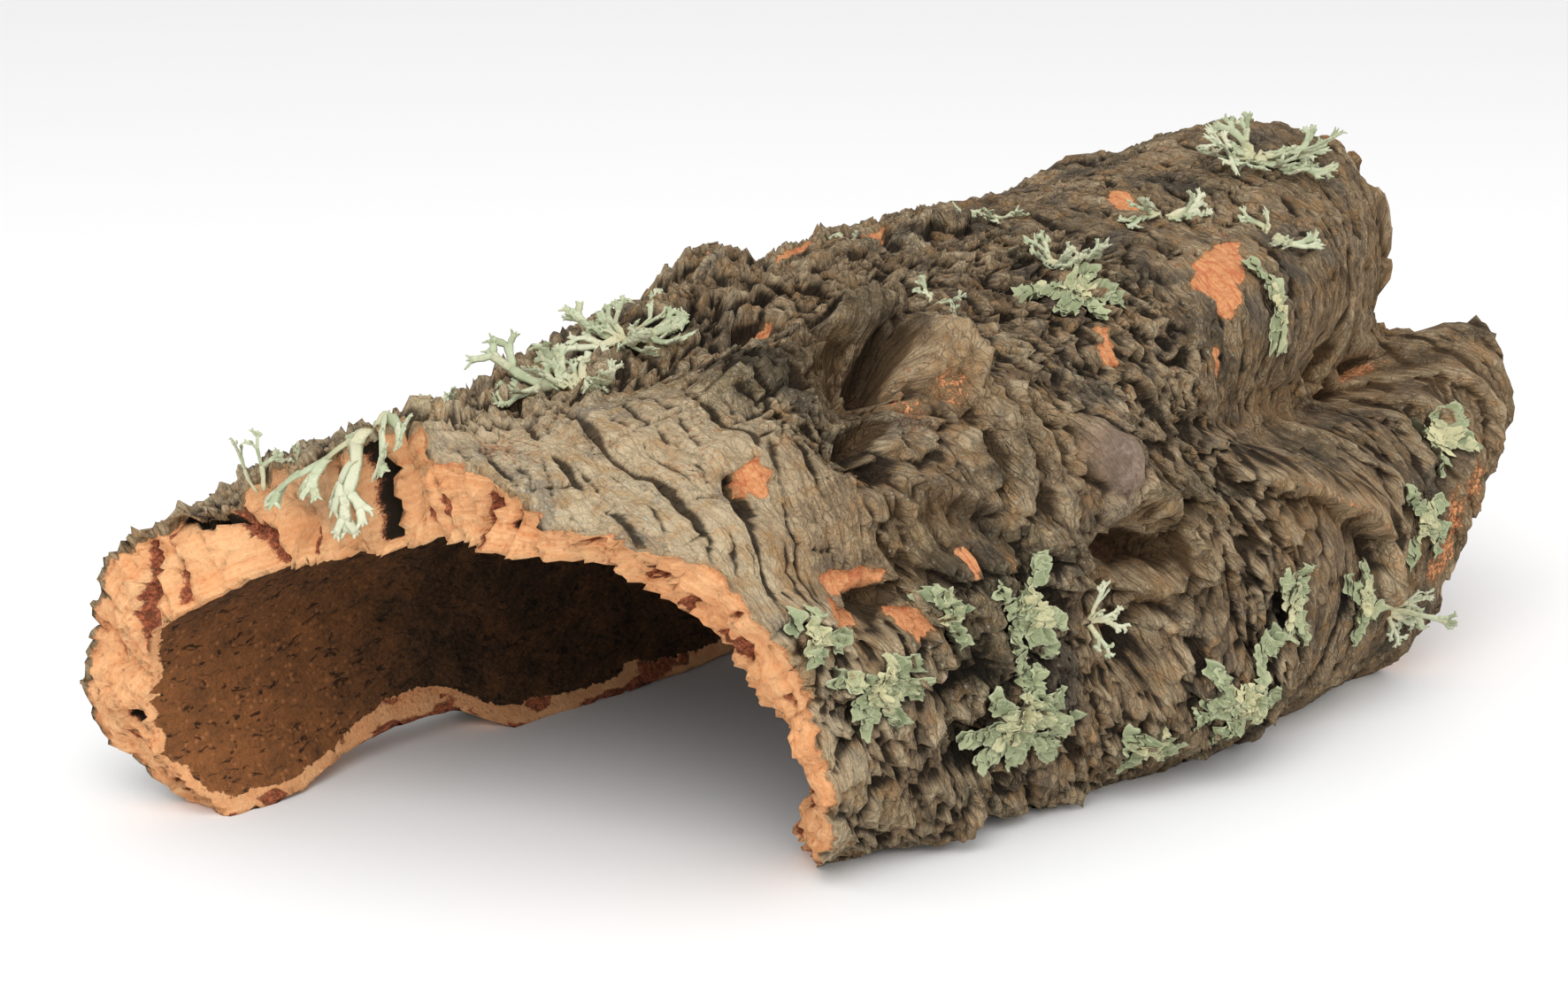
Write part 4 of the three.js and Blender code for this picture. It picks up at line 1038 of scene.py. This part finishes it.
def makeBarkMaterial():
    made, tree, shader = newMaterial("cork_bark")
    look = barkFinish
    tints = {key: linear(value) for key, value in look.items()}
    along, around, depth, hollow, crownLight, plate, crack = (
        attributeOf(tree, key) for key in ("along", "round", "depth", "hollow", "crownLight", "plate", "crack"))
    knot, cork, inside, pit, black, weather = (
        attributeOf(tree, key) for key in ("knot", "cork", "inside", "pit", "black", "weather"))
    coarse, fine, specks = mottleOf(tree, 9.0, 1.3, 1.1, 0.16)
    wide, small, crumbs = mottleOf(tree, 45.0, 0.6, 1.7, 0.30)
    ochreCloud, greyCloud, _ = mottleOf(tree, 6.0, 16.0, 1.0, 0.0)
    fibres, cracks, crackHeight = crackleOf(tree, along, around, 0.9, 4.5)
    finer, fineCracks, fineHeight = crackleOf(tree, along, around, 0.42, 2.2)

    # the rind: its tone comes from cloud, fibres and plates, with painted light on the crowns, and is paler
    # by the mouth, most of all on the right flank; then come other colours, lichen crust, stains, cracks
    # darkened partly by their own dark and partly by painted shade, and hollows in painted shade
    rightShare = mathOf(tree, "ADD", productOf(tree, stepOf(tree, around, 110.0, 150.0), 0.65), 0.35)
    light = productOf(tree, stepOf(tree, along, -105.0, -150.0), rightShare)
    tone = sumOf(tree, (coarse, 0.60), (fibres, 0.42), (finer, 0.30), (crownLight, 0.20), (plate, 0.16),
                 (wide, 0.30), (light, 0.22), (small, 0.46))
    rind = rampOf(tree, tone, [[0.72, look["darkRind"]], [0.87, look["brownRind"]], [1.0, look["midRind"]],
                               [1.13, look["tanRind"]], [1.28, look["paleRind"]]], 0.6, 1.4)
    ochre = stepOf(tree, sumOf(tree, (ochreCloud, 1.0), (small, 0.35)), 0.66, 0.82)
    grey = stepOf(tree, sumOf(tree, (greyCloud, 1.0), (fine, 0.3)), 0.66, 0.80)
    rusty = stepOf(tree, sumOf(tree, (fine, 0.6), (coarse, 0.5), (plate, 0.12)), 0.66, 0.74)
    mossy = stepOf(tree, sumOf(tree, (wide, 0.8), (fine, 0.4)), 0.64, 0.74)
    knotTone = rampOf(tree, sumOf(tree, (fine, 0.6), (coarse, 0.4)), [
        [0.36, look["knotDark"]], [0.52, look["knotSkin"]], [0.66, look["knotPale"]]])
    stained = stepOf(tree, sumOf(tree, (greyCloud, 0.5), (wide, 0.6), (small, 0.25), (light, -0.14)), 0.66,
                     0.80)
    calm, smooth = restOf(tree, knot, 0.8), restOf(tree, light, 0.6)
    # fine cracks darker: partly their own dark, partly painted shade in them
    lines = mathOf(tree, "MAXIMUM", productOf(tree, cracks, 0.38), productOf(tree, fineCracks, 0.32))
    # painted shade: near-black in hollows, deep holes, pits and cracks, over the cracks' own dark
    deep = stepOf(tree, sumOf(tree, (hollow, 0.8), (crack, 0.8), (small, 0.5)), 0.45, 1.1)
    rind = painted(
        tree, rind, (tints["ochre"], ochre, 0.6), (tints["slate"], grey, 0.55), (tints["rust"], rusty, 0.55),
        (tints["moss"], mossy, 0.35), (knotTone, knot, 0.85),
        (tints["crust"], specks, 0.8, stepOf(tree, wide, 0.48, 0.56)), (tints["stain"], stained, 0.72),
        (tints["darkRind"], lines, calm, smooth), (tints["crevice"], deep, 0.88), (tints["ochre"], cork, 0.8))

    # torn cork: sparse growth lines at their depth in the wall, redder and rougher patches where the
    # rind is off outside, crumbly red wedges, and black painted as shade in deep wedges and hollows
    lineDepth = sumOf(tree, (depth, 1.0), (coarse, 2.5))
    ringPlace = placeOf(tree, productOf(tree, lineDepth, 0.9), productOf(tree, around, 0.02))
    rings = noiseOf(tree, ringPlace, 1.0, 2.0, 0.6)["Fac"]
    bareTone = sumOf(tree, (rings, 0.45), (coarse, 0.35), (fine, 0.28))
    bareCork = rampOf(tree, bareTone, [[0.36, look["corkLine"]], [0.44, look["corkMid"]],
                                       [0.66, look["corkPale"]]])
    outside = stepOf(tree, depth, 3.0, 0.5)
    patchTone = rampOf(tree, sumOf(tree, (fine, 0.45), (small, 0.25), (fibres, 0.3)), [
        [0.36, look["patchDark"]], [0.48, look["patchCork"]], [0.66, look["patchPale"]]])
    crumbly = stepOf(tree, sumOf(tree, (pit, 1.0), (small, 0.7)), 0.72, 0.95)
    pitTone = stepOf(tree, sumOf(tree, (fine, 0.6), (small, 0.4)), 0.42, 0.62)
    # painted shade: black in deep wedges and in the hollows under the rind
    gapShade = stepOf(tree, sumOf(tree, (black, 1.0), (small, 0.6)), 0.75, 1.0)
    bareCork = painted(
        tree, bareCork, (patchTone, outside, 0.85), (tints["pitRed"], cracks, outside, 0.7),
        (tints["pitRed"], crumbs, stepOf(tree, wide, 0.45, 0.6), 0.5), (tints["weathered"], weather, 0.8),
        (mixOf(tree, pitTone, tints["pitDark"], tints["pitRed"]), crumbly, 0.92),
        (tints["pitShade"], gapShade))

    # the inside: dark, mottled, with black flecks and painted light, warm and paler, by the left foot
    # painted light: the inside is warmer and paler by the left foot, where light comes in, with more orange
    # crumbs there
    warmLight = productOf(tree, stepOf(tree, along, -125.0, -205.0), stepOf(tree, around, 105.0, 30.0))
    fleckPlace = placeOf(tree, productOf(tree, along, 0.22), productOf(tree, around, 0.42), 3.0)
    flecks = noiseOf(tree, fleckPlace, 1.0, 4.0, 0.65, 0.8)["Fac"]
    insideTone = sumOf(tree, (coarse, 0.45), (fine, 0.40), (small, 0.2), (warmLight, 0.26))
    lining = rampOf(tree, insideTone, [[0.40, look["innerDark"]], [0.54, look["innerMid"]],
                                       [0.86, look["innerWarm"]]])
    lining = painted(tree, lining, (tints["crevice"], stepOf(tree, flecks, 0.44, 0.36), 0.85),
                     (tints["patchCork"], crumbs, warmLight, 0.45))

    # heights in mm: fibres and cracks on the rind, softer on bare cork and inside
    patch = stepOf(tree, sumOf(tree, (cork, 1.0), (fine, 0.8), (small, 0.3)), 1.02, 1.14)
    rindShare = productOf(tree, restOf(tree, patch), calm, smooth, restOf(tree, inside))
    rough = sumOf(tree, (crackHeight, 1.5), (fineHeight, 0.7), (fine, 1.0), (small, 0.45))
    soft = sumOf(tree, (fine, 0.7), (small, 0.3), (rings, 0.35), (flecks, 0.5))
    height = sumOf(tree, (rough, rindShare), (soft, restOf(tree, rindShare)))
    colour = mixOf(tree, patch, mixOf(tree, inside, rind, lining), bareCork)
    dress(tree, shader, colour, restOf(tree, knot, 0.35, 0.96), height, 1.0, 0.0012)
    return made


bark.data.materials.append(makeBarkMaterial())
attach(bark, "root")
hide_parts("bark")
print("bark material:", len(bark.data.materials[0].node_tree.nodes), "nodes")


# the lichens that lie like leaves: low clusters of rounded lobes

leafy = {
    "slot": "leafy_lichen", "rings": 5, "pointsRound": 20, "lobeHalf": 2.35, "thickness": 0.5, "step": 2.0,
    "lift": 0.9, "tierHeight": 0.8,
    # each one's middle [x, angle] and the tips of its arms, [along, round] in mm from the middle
    "patches": [
        {"at": [-147, 161], "arms": [[-5, -4], [4, -5], [6, 3], [-2, 6]]},
        {"at": [-130, 171], "arms": [[-13, -5], [-8, 3], [-4, 8], [4, 8], [10, -3], [13, 5], [7, 3]]},
        {"at": [-109, 163.5], "arms": [[-3, -5], [3, 2], [2, 7]]},
        {"at": [-83, 167], "arms": [[-9, -6], [-6, 5], [-2, -3], [6, -9], [9, 4], [3, 9]]},
        {"at": [-86, 182], "arms": [[-3, -17], [3, -9], [-9, -5], [-15, 3], [-10, 9], [-3, 6], [10, -3],
                                    [15, 4], [9, 9], [2, 12]]},
        {"at": [-14, 122], "arms": [[-11, -5], [-8, 5], [-3, 2], [9, -4], [9, 6], [1, 9]]},
        {"at": [52, 134], "arms": [[-1, -9], [2, -3], [-2, 7], [2, 10]]},
        {"at": [-42, 192], "arms": [[-8, -3], [-3, 4], [8, 2], [4, -5]]},
        {"at": [-16, 187], "arms": [[-15, 2], [-10, -7], [-7, 5], [-2, 6], [8, -6], [12, 2], [15, -9],
                                    [5, 2]]},
        {"at": [8, 178], "arms": [[-4, -7], [5, -5], [3, 6], [-4, 5]]},
        {"at": [40, 181], "arms": [[-5, -5], [4, -6], [6, 3], [-2, 7]]},
        {"at": [84, 174], "arms": [[-8, 7], [-5, -6], [2, 3], [3, 10], [9, -5], [8, 5]]},
        {"at": [108, 163], "arms": [[-9, 6], [-5, -6], [6, -7], [8, 2]]}],
}


def barkTop(x, angle, level):
    # A point of the bark's outside, over its smaller crevices, at a height above it
    height = np.clip(relief(x, angle)[0], -1.2, 6) * 0.9
    return sectionPoint(x, angle, outerRadius(x, angle) + height + level)


def makeLeafy(name, patch, seed):
    # Lobes stand in short chains from the middle to the tip of each arm and spread to both sides.
    # Each lobe is a closed lens on rings about its own middle: its rim's distance is its half
    # width times 1 + waves that make blunt teeth, wider outwards, and it rises to its rim
    dice = np.random.default_rng(seed)
    x, angle = patch["at"]
    lobes = []
    for armAlong, armRound in patch["arms"]:
        reach = np.hypot(armAlong, armRound)
        heading = np.arctan2(armRound, armAlong)
        bow = dice.uniform(-0.5, 0.5)
        for step in np.arange(0.6, reach, leafy["step"]):
            share = step / reach
            bent = heading + bow * (1 - share)
            for side in ((-1, 1) if share < 0.85 else (-1, 0, 1)):
                if dice.random() < 0.16:
                    continue
                turn = bent + side * dice.uniform(0.5, 1.3) * (1.15 - 0.5 * share)
                off = dice.uniform(0.4, 1.5)
                lobes.append((step * np.cos(bent) + off * np.cos(turn),
                              step * np.sin(bent) + off * np.sin(turn),
                              turn, leafy["lobeHalf"] * dice.uniform(0.55, 0.85 + 0.35 * share),
                              dice.uniform(0, 1),
                              dice.uniform(0, 6.28), dice.uniform(0, 6.28), dice.uniform(0.3, 1.3), share))
    atX, atY, turn, half, tier, phaseA, phaseB, lift, share = (np.array(c) for c in zip(*lobes))
    rings, around = leafy["rings"], leafy["pointsRound"]
    rho = np.linspace(0, 1, rings + 1)[1:][None, :, None]
    theta = np.linspace(0, 2 * np.pi, around, endpoint=False)[None, None, :]
    n = len(half)
    spread = lambda a: a[:, None, None]
    teeth = 1 + 0.17 * np.cos(4 * theta + 0.8 * np.cos(spread(phaseA))) * (0.6 + 0.4 * np.cos(theta)) \
        + 0.10 * np.cos(7 * theta + spread(phaseB))
    distance = spread(half) * rho * (1 + (teeth - 1) * rho)
    out = distance * np.cos(theta) * 1.25
    side = distance * np.sin(theta) * (0.82 + 0.24 * np.cos(theta))
    c, s = np.cos(spread(turn)), np.sin(spread(turn))
    degree = form["arcScale"] * rad
    px = x + spread(atX) + out * c - side * s
    pa = angle + (spread(atY) + out * s + side * c) / degree
    tall = leafy["tierHeight"] + 0.9 * tier + 0.5 * (1 - share)
    ruffle = 0.3 * rho ** 3 * np.cos(4 * theta + spread(phaseB))
    rise = spread(lift) * leafy["lift"] * rho ** 2 * (0.55 + 0.45 * np.cos(theta)) + ruffle
    level = np.broadcast_to(spread(tall) + rise, px.shape)
    thick = leafy["thickness"] * (1 - rho ** 6 * 0.75) * np.ones_like(px)
    top = barkTop(px, pa, level)
    bottom = top - (barkTop(px, pa, level + 1.0) - top) * thick[..., None]
    hubTop = barkTop(x + atX, angle + atY / degree, tall + 0.05)
    hubLow = barkTop(x + atX, angle + atY / degree, -1.0 + 0 * atX)
    block = np.concatenate([hubTop[:, None], hubLow[:, None], top.reshape(n, -1, 3),
                            bottom.reshape(n, -1, 3)], 1)
    size = block.shape[1]
    cell = np.arange(rings * around).reshape(rings, around)
    nextOne = np.roll(cell, -1, axis=1)
    topAt, lowAt = 2, 2 + rings * around
    up, down, upNext, downNext = topAt + cell, lowAt + cell, topAt + nextOne, lowAt + nextOne
    faces = [[np.zeros(around, int), up[0], upNext[0], upNext[0]],
             [np.ones(around, int), downNext[0], down[0], down[0]],
             [up[:-1], up[1:], upNext[1:], upNext[:-1]], [down[:-1], downNext[:-1], downNext[1:], down[1:]],
             [up[-1], down[-1], downNext[-1], upNext[-1]]]
    one = np.vstack([np.stack(corners, -1).reshape(-1, 4) for corners in faces])
    quads = (one[None] + (np.arange(n) * size)[:, None, None]).reshape(-1, 4)
    tris = np.vstack([quads[:, [0, 1, 2]], quads[:, [0, 2, 3]]])
    tris = tris[(tris[:, 0] != tris[:, 1]) & (tris[:, 1] != tris[:, 2]) & (tris[:, 2] != tris[:, 0])]
    edge = np.broadcast_to(rho * np.ones_like(theta), (n, rings, around)).reshape(n, -1)
    under = np.tile(np.repeat([0.0, 1.0, 0.0, 1.0], [1, 1, rings * around, rings * around]), n)
    return makeMesh(name, block.reshape(-1, 3), tris, {
        "edge": np.concatenate([np.zeros((n, 2)), edge, edge], 1),
        "heart": np.repeat(np.clip(1 - share, 0, 1), size), "under": under,
        "tint": np.repeat(dice.random(n), size)})


def makeLeafyMaterial():
    made, tree, shader = newMaterial("leafy_lichen")
    edge, heart, under, tint = (attributeOf(tree, key) for key in ("edge", "heart", "under", "tint"))
    coarse, fine, specks = mottleOf(tree, 6.0, 0.7, 0.7, 0.25)
    tone = sumOf(tree, (coarse, 0.5), (tint, 0.35))
    base = rampOf(tree, tone, [[0.15, (116, 126, 94)], [0.42, (148, 156, 120)], [0.75, (178, 182, 144)]])
    warm = stepOf(tree, sumOf(tree, (heart, 0.75), (tint, 0.5), (fine, 0.5)), 0.95, 1.2)
    base = painted(tree, base, (linear((196, 198, 162)), stepOf(tree, edge, 0.72, 1.0), 0.5),
                   (linear((206, 198, 156)), warm, 0.8),
                   (linear((96, 92, 62)), stepOf(tree, fine, 0.62, 0.72), 0.5),
                   (linear((212, 210, 186)), specks, 0.45), (linear((70, 60, 46)), under, 0.85))
    dress(tree, shader, base, 0.88, mathOf(tree, "ADD", fine, productOf(tree, specks, 0.5)), 0.6, 0.0004)
    return made


leafyMaterial = makeLeafyMaterial()
for k, patch in enumerate(leafy["patches"]):
    cluster = makeLeafy("leafy_rosette_%d" % (k + 1), patch, 300 + k)
    cluster.data.materials.append(leafyMaterial)
    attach(cluster, "root")
    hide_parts("leafy_lichen_%d" % (k + 1))
print("leafy lichens:", len(leafy["patches"]))


# the lichens that stand like small shrubs: flat straps that fork again and again

shrubby = {
    "slot": "shrubby_lichen", "thickness": 0.75, "widthShare": 0.15, "leastWidth": 0.8, "forkAngle": 24,
    # for each level of forks: its length as a share of the shoot's, and its width as a share of the
    # width of the one before
    "levelLength": [0.36, 0.27, 0.19, 0.13, 0.08], "levelWidth": [1.0, 0.80, 0.80, 0.82, 0.62],
    "tufts": [
        {"name": "twin_twigs", "root": [-205, 50], "shoots": [[205, 66, 16], [60, 62, 15]], "extra": 0,
         "width": 0.62},
        {"name": "rim_twig", "root": [-197, 53], "shoots": [[60, 55, 9], [300, 50, 8]], "extra": 1,
         "width": 0.8},
        {"name": "rim_tuft", "root": [-190, 76], "shoots": [[218, 6, 27], [150, 2, 23], [102, 6, 23],
                                                           [30, 50, 8], [240, 55, 8]], "droop": 0.3,
                                                           "extra": 0, "width": 1.2},
        {"name": "lying_branch", "root": [-131, 82],
         "shoots": [[262, 8, 36], [235, 24, 19], [80, 12, 17], [280, 20, 20]], "extra": 6},
        {"name": "branch_head", "root": [-143, 50], "shoots": [[200, 50, 9], [300, 50, 9], [90, 40, 8]]},
        {"name": "shoulder_tuft", "root": [-113, 80], "shoots": [[262, 12, 24], [225, 16, 20], [300, 20, 18],
                                                                [85, 8, 22], [115, 12, 20], [50, 16, 20],
                                                                [20, 18, 16]], "extra": 6},
        {"name": "shoulder_bits", "root": [-88, 66], "shoots": [[30, 30, 9], [250, 35, 9]]},
        {"name": "crest_bits", "root": [-25, 78], "shoots": [[60, 50, 6], [230, 45, 6]]},
        {"name": "crest_tuft", "root": [24, 84], "shoots": [[250, 20, 13], [215, 30, 12], [80, 18, 13],
                                                           [100, 28, 12]]},
        {"name": "ledge_tuft", "root": [-52, 114], "shoots": [[280, 30, 9], [60, 22, 10], [110, 15, 10]]},
        {"name": "curled_tuft", "root": [0, 114], "shoots": [[250, 32, 15], [120, 22, 16], [160, 24, 15],
                                                            [30, 30, 14], [70, 20, 16], [200, 30, 14]],
                                                            "extra": 6},
        {"name": "far_strand", "root": [50, 110],
         "shoots": [[190, 20, 16], [60, 22, 12], [10, 12, 18], [170, 10, 20]]},
        {"name": "far_bits", "root": [72, 121],
         "shoots": [[300, 34, 12], [100, 20, 14], [80, 10, 16], [270, 16, 12]]},
        {"name": "great_tuft", "root": [100, 103], "shoots": [[180, 14, 24], [235, 26, 20], [290, 20, 20],
                                                            [20, 12, 24], [70, 8, 26], [95, 6, 28],
                                                            [125, 8, 24], [150, 16, 22]], "extra": 9},
        {"name": "flank_branch", "root": [-60, 172], "shoots": [[280, 30, 13], [350, 30, 12], [70, 22, 10]]},
        {"name": "end_tuft", "root": [66, 187],
         "shoots": [[355, 34, 20], [30, 28, 18], [325, 40, 17], [60, 16, 15]], "extra": 5, "width": 0.8}],
}


def unit(a):
    return a / np.maximum(1e-9, np.linalg.norm(a, axis=-1, keepdims=True))


def barkFrame(x, angle):
    # Directions on the bark at a place: along the tunnel, round it, and straight out
    def broadPoint(a, b):
        a, b = np.array([a]), np.array([b])
        return sectionPoint(a, b, baseRadius(a, b) + runHeight(form["valley"], a, b))[0]

    along = unit(broadPoint(x + 2, angle) - broadPoint(x - 2, angle))
    around = unit(broadPoint(x, angle + 2) - broadPoint(x, angle - 2))
    return along, around, unit(np.cross(around, along))


def liftOver(points, height):
    # Keeps points at least a height above the bark's outside, unless they hang before the mouth
    dy = points[..., 1] - curve(form["centreY"], points[..., 0])
    dz = points[..., 2] - curve(form["midHeight"], points[..., 0])
    angle = np.arctan2(dz, dy) / rad
    angle = np.where(angle < -90, angle + 360, angle)
    x = points[..., 0]
    least = outerRadius(x, angle) + np.clip(relief(x, angle)[0], -1, 6) * 0.9 + height
    before = x < curve(form["nearEdge"], (angle - form["firstAngle"]) / form["angleSpan"]) - 3
    radius = np.maximum(np.hypot(dy, dz), np.where(before, 0, least))
    return sectionPoint(x, angle, radius)


def growShoot(start, ahead, face, length, width, dice, level, droop, straps):
    # A flat strap bends a little to its side and out, then forks like an antler: one main branch
    # goes on and one turns off, and near the tips there are two or three short blunt teeth
    aside = unit(np.cross(ahead, face))
    part = length * shrubby["levelLength"][level] * dice.uniform(0.8, 1.2)
    s = np.linspace(0, 1, 6)[:, None]
    bend, curl = dice.normal(0, 0.3), dice.normal(0.05, 0.25)
    path = start + part * (s * ahead + 0.5 * s ** 2 * (bend * aside + curl * face))
    path[:, 2] -= droop * part * s[:, 0] ** 2
    tip = unit(ahead + bend * aside + curl * face - np.array([0, 0, 2 * droop]) * 0.5)
    last = level == len(shrubby["levelLength"]) - 1
    flare = 1.25 if level >= 2 else 1.05
    end = 0.45 * width if last else width * flare
    straps.append((path, aside, unit(face - curl * ahead), width, end, level))
    if last:
        return
    nextWidth = max(shrubby["leastWidth"], width * shrubby["levelWidth"][level + 1])
    if level < 2:
        off = dice.choice((-1, 1))
        turns = (-0.35 * off * dice.uniform(0.5, 1.4), off * dice.uniform(1.2, 2.0))
    else:
        turns = (-1.5, 1.5) if dice.random() < 0.45 else (-1.9, 0.1, 1.8)
    for k, sign in enumerate(turns):
        spread = np.deg2rad(shrubby["forkAngle"] * sign * dice.uniform(0.8, 1.2))
        turned = unit(tip * np.cos(spread) + aside * np.sin(spread) + face * dice.normal(0.03, 0.12))
        newFace = unit(face - turned * np.dot(face, turned) + aside * dice.normal(0, 0.15))
        shorter = 1.0 if k == 0 else dice.uniform(0.65, 0.9)
        side = aside * np.sign(spread) * 0.22 * end * (abs(sign) > 0.5)
        growShoot(path[-1] - 0.35 * turned + side, turned, newFace, length * shorter,
                  nextWidth * (0.75 + 0.25 * shorter), dice, level + 1, droop, straps)


def makeShrubby(name, tuft, seed):
    # Every strap is a path with a lens-shaped section: six points about each of its six stations,
    # from its width at the root to its width at the tip, closed at both ends
    dice = np.random.default_rng(seed)
    x, angle = tuft["root"]
    along, around, out = barkFrame(x, angle)
    root = barkTop(np.array([float(x)]), np.array([float(angle)]), -0.8)[0]
    straps = []
    shoots = list(tuft["shoots"])
    for k in range(tuft.get("extra", 2)):
        heading, rise, length = shoots[k % len(tuft["shoots"])]
        shoots.append([heading + dice.uniform(-60, 60), rise + dice.uniform(-8, 22),
                       length * dice.uniform(0.4, 0.7)])
    for heading, rise, length in shoots:
        level = along * np.cos(heading * rad) + around * np.sin(heading * rad)
        ahead = level * np.cos(rise * rad) + out * np.sin(rise * rad)
        aside = np.cross(level, out)
        face = unit(np.cross(aside, ahead)) * (1 if dice.random() < 0.7 else -1)
        roll = dice.normal(0, 0.5)
        face = unit(face * np.cos(roll) + aside * np.sin(roll))
        width = min(max(1.4, shrubby["widthShare"] * length), 3.4) * tuft.get("width", 1)
        growShoot(root + level * 0.8, ahead, face, length, width, dice, 0, tuft.get("droop", 0), straps)
    path, aside, face, width0, width1, level = (np.array(part) for part in zip(*straps))
    count, stations = path.shape[:2]
    lens = [(-0.5, 0.0), (-0.28, 0.5), (0.28, 0.5), (0.5, 0.0), (0.28, -0.5), (-0.28, -0.5)]
    corners = len(lens)
    rooted = (level == 0)[:, None] & (np.arange(stations) < 2)[None]
    path = np.where(rooted[..., None], path, liftOver(path, 0.9))
    s = np.linspace(0, 1, stations)[None]
    width = width0[:, None] + (width1 - width0)[:, None] * s
    width = width * (1 + 0.12 * np.sin(9 * s + 5 * level[:, None] + width0[:, None]))
    thick = np.minimum(shrubby["thickness"], 0.45 * width)
    points = np.stack([path + aside[:, None] * (a * width)[..., None] + face[:, None] * (b * thick)[..., None]
                       for a, b in lens], 2)
    size = stations * corners
    cell = np.arange(size).reshape(stations, corners)
    nextOne = np.roll(cell, -1, axis=1)
    sides = np.stack([cell[:-1], nextOne[:-1], nextOne[1:], cell[1:]], -1).reshape(-1, 4)
    first, last = cell[0], cell[-1]
    ends = np.array([first[[0, 3, 2, 1]], first[[0, 5, 4, 3]], last[[0, 1, 2, 3]], last[[0, 3, 4, 5]]])
    quads = (np.vstack([sides, ends])[None] + (np.arange(count) * size)[:, None, None]).reshape(-1, 4)
    share = (level[:, None] + s) / len(shrubby["levelLength"])
    return makeMesh(name, points.reshape(-1, 3), quads, {
        "share": np.repeat(share, corners), "tint": np.repeat(dice.random(count), size),
        "under": np.tile((np.arange(corners) > 3).astype(float), count * stations)})


def makeShrubbyMaterial():
    made, tree, shader = newMaterial("shrubby_lichen")
    share, tint, under = (attributeOf(tree, key) for key in ("share", "tint", "under"))
    coarse, fine, specks = mottleOf(tree, 5.0, 0.6, 0.9, 0.2)
    tone = sumOf(tree, (coarse, 0.4), (tint, 0.3))
    base = rampOf(tree, tone, [[0.12, (146, 154, 120)], [0.34, (178, 186, 154)], [0.56, (208, 210, 182)]])
    aged = stepOf(tree, sumOf(tree, (fine, 0.6), (tint, 0.4)), 0.58, 0.72)
    base = painted(tree, base, (linear((220, 216, 192)), under, 0.5),
                   (linear((204, 190, 150)), stepOf(tree, share, 0.35, 0.0), 0.6),
                   (linear((142, 128, 84)), aged, 0.4), (linear((226, 224, 204)), specks, 0.35))
    dress(tree, shader, base, 0.85, fine, 0.6, 0.0003)
    return made


shrubbyMaterial = makeShrubbyMaterial()
for k, tuft in enumerate(shrubby["tufts"]):
    grown = makeShrubby("shrubby_" + tuft["name"], tuft, 500 + k)
    grown.data.materials.append(shrubbyMaterial)
    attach(grown, "root")
    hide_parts("shrubby_lichen_" + tuft["name"])
print("shrubby lichens:", len(shrubby["tufts"]))


# floor, light and camera

studio = {"floorHalf": 6.0, "floorColour": (240, 240, 240), "floorCloud": (225, 225, 225),
          "skyStrength": 0.95,
          "keyPower": 22, "keySize": 1.4, "keyPlace": (-1.1, -0.8, 1.5), "fillPower": 6,
          "fillPlace": (0.5, -1.6, 0.9), "fillSize": 1.6}

ends = studio["floorHalf"] * np.array([[-1, -1, 0], [1, -1, 0], [1, 1, 0], [-1, 1, 0]], float)
floorMesh = bpy.data.meshes.new("floor")
floorMesh.from_pydata([tuple(p) for p in ends], [], [(0, 1, 2, 3)])
floor = bpy.data.objects.new("floor", floorMesh)
bpy.context.scene.collection.objects.link(floor)
floorMaterial, floorTree, floorShader = newMaterial("floor_paper")
floorShade, _, _ = mottleOf(floorTree, 400.0, 3.0, 5.0, 0.0)
floorColour = painted(floorTree, linear(studio["floorColour"]),
                      (linear(studio["floorCloud"]), floorShade, 0.1))
floorTree.links.new(floorColour, floorShader.inputs["Base Color"])
floorShader.inputs["Roughness"].default_value = 0.9
floorMesh.materials.append(floorMaterial)

world = bpy.data.worlds.new("studio")
world.use_nodes = True
world.node_tree.nodes["Background"].inputs["Color"].default_value = (1, 1, 1, 1)
world.node_tree.nodes["Background"].inputs["Strength"].default_value = studio["skyStrength"]
bpy.context.scene.world = world
bpy.context.scene.view_settings.view_transform = "Standard"


def addLight(name, place, power, size):
    data = bpy.data.lights.new(name, "AREA")
    data.energy, data.size = power, size
    light = bpy.data.objects.new(name, data)
    light.location = place
    light.rotation_euler = (Vector((0, 0, 0.05)) - Vector(place)).to_track_quat("-Z", "Y").to_euler()
    bpy.context.scene.collection.objects.link(light)


addLight("key", studio["keyPlace"], studio["keyPower"], studio["keySize"])
addLight("fill", studio["fillPlace"], studio["fillPower"], studio["fillSize"])

view = {"place": (-0.5541, -0.4989, 0.260), "heading": (0.706, 0.708), "down": 15, "lens": 65.01}
lower = np.cos(view["down"] * rad)
forward = Vector((view["heading"][0] * lower, view["heading"][1] * lower, -np.sin(view["down"] * rad)))
lensData = bpy.data.cameras.new("camera")
lensData.lens, lensData.sensor_width = view["lens"], 36
camera = bpy.data.objects.new("camera", lensData)
camera.location = view["place"]
camera.rotation_euler = forward.to_track_quat("-Z", "Y").to_euler()
bpy.context.scene.collection.objects.link(camera)
bpy.context.scene.camera = camera
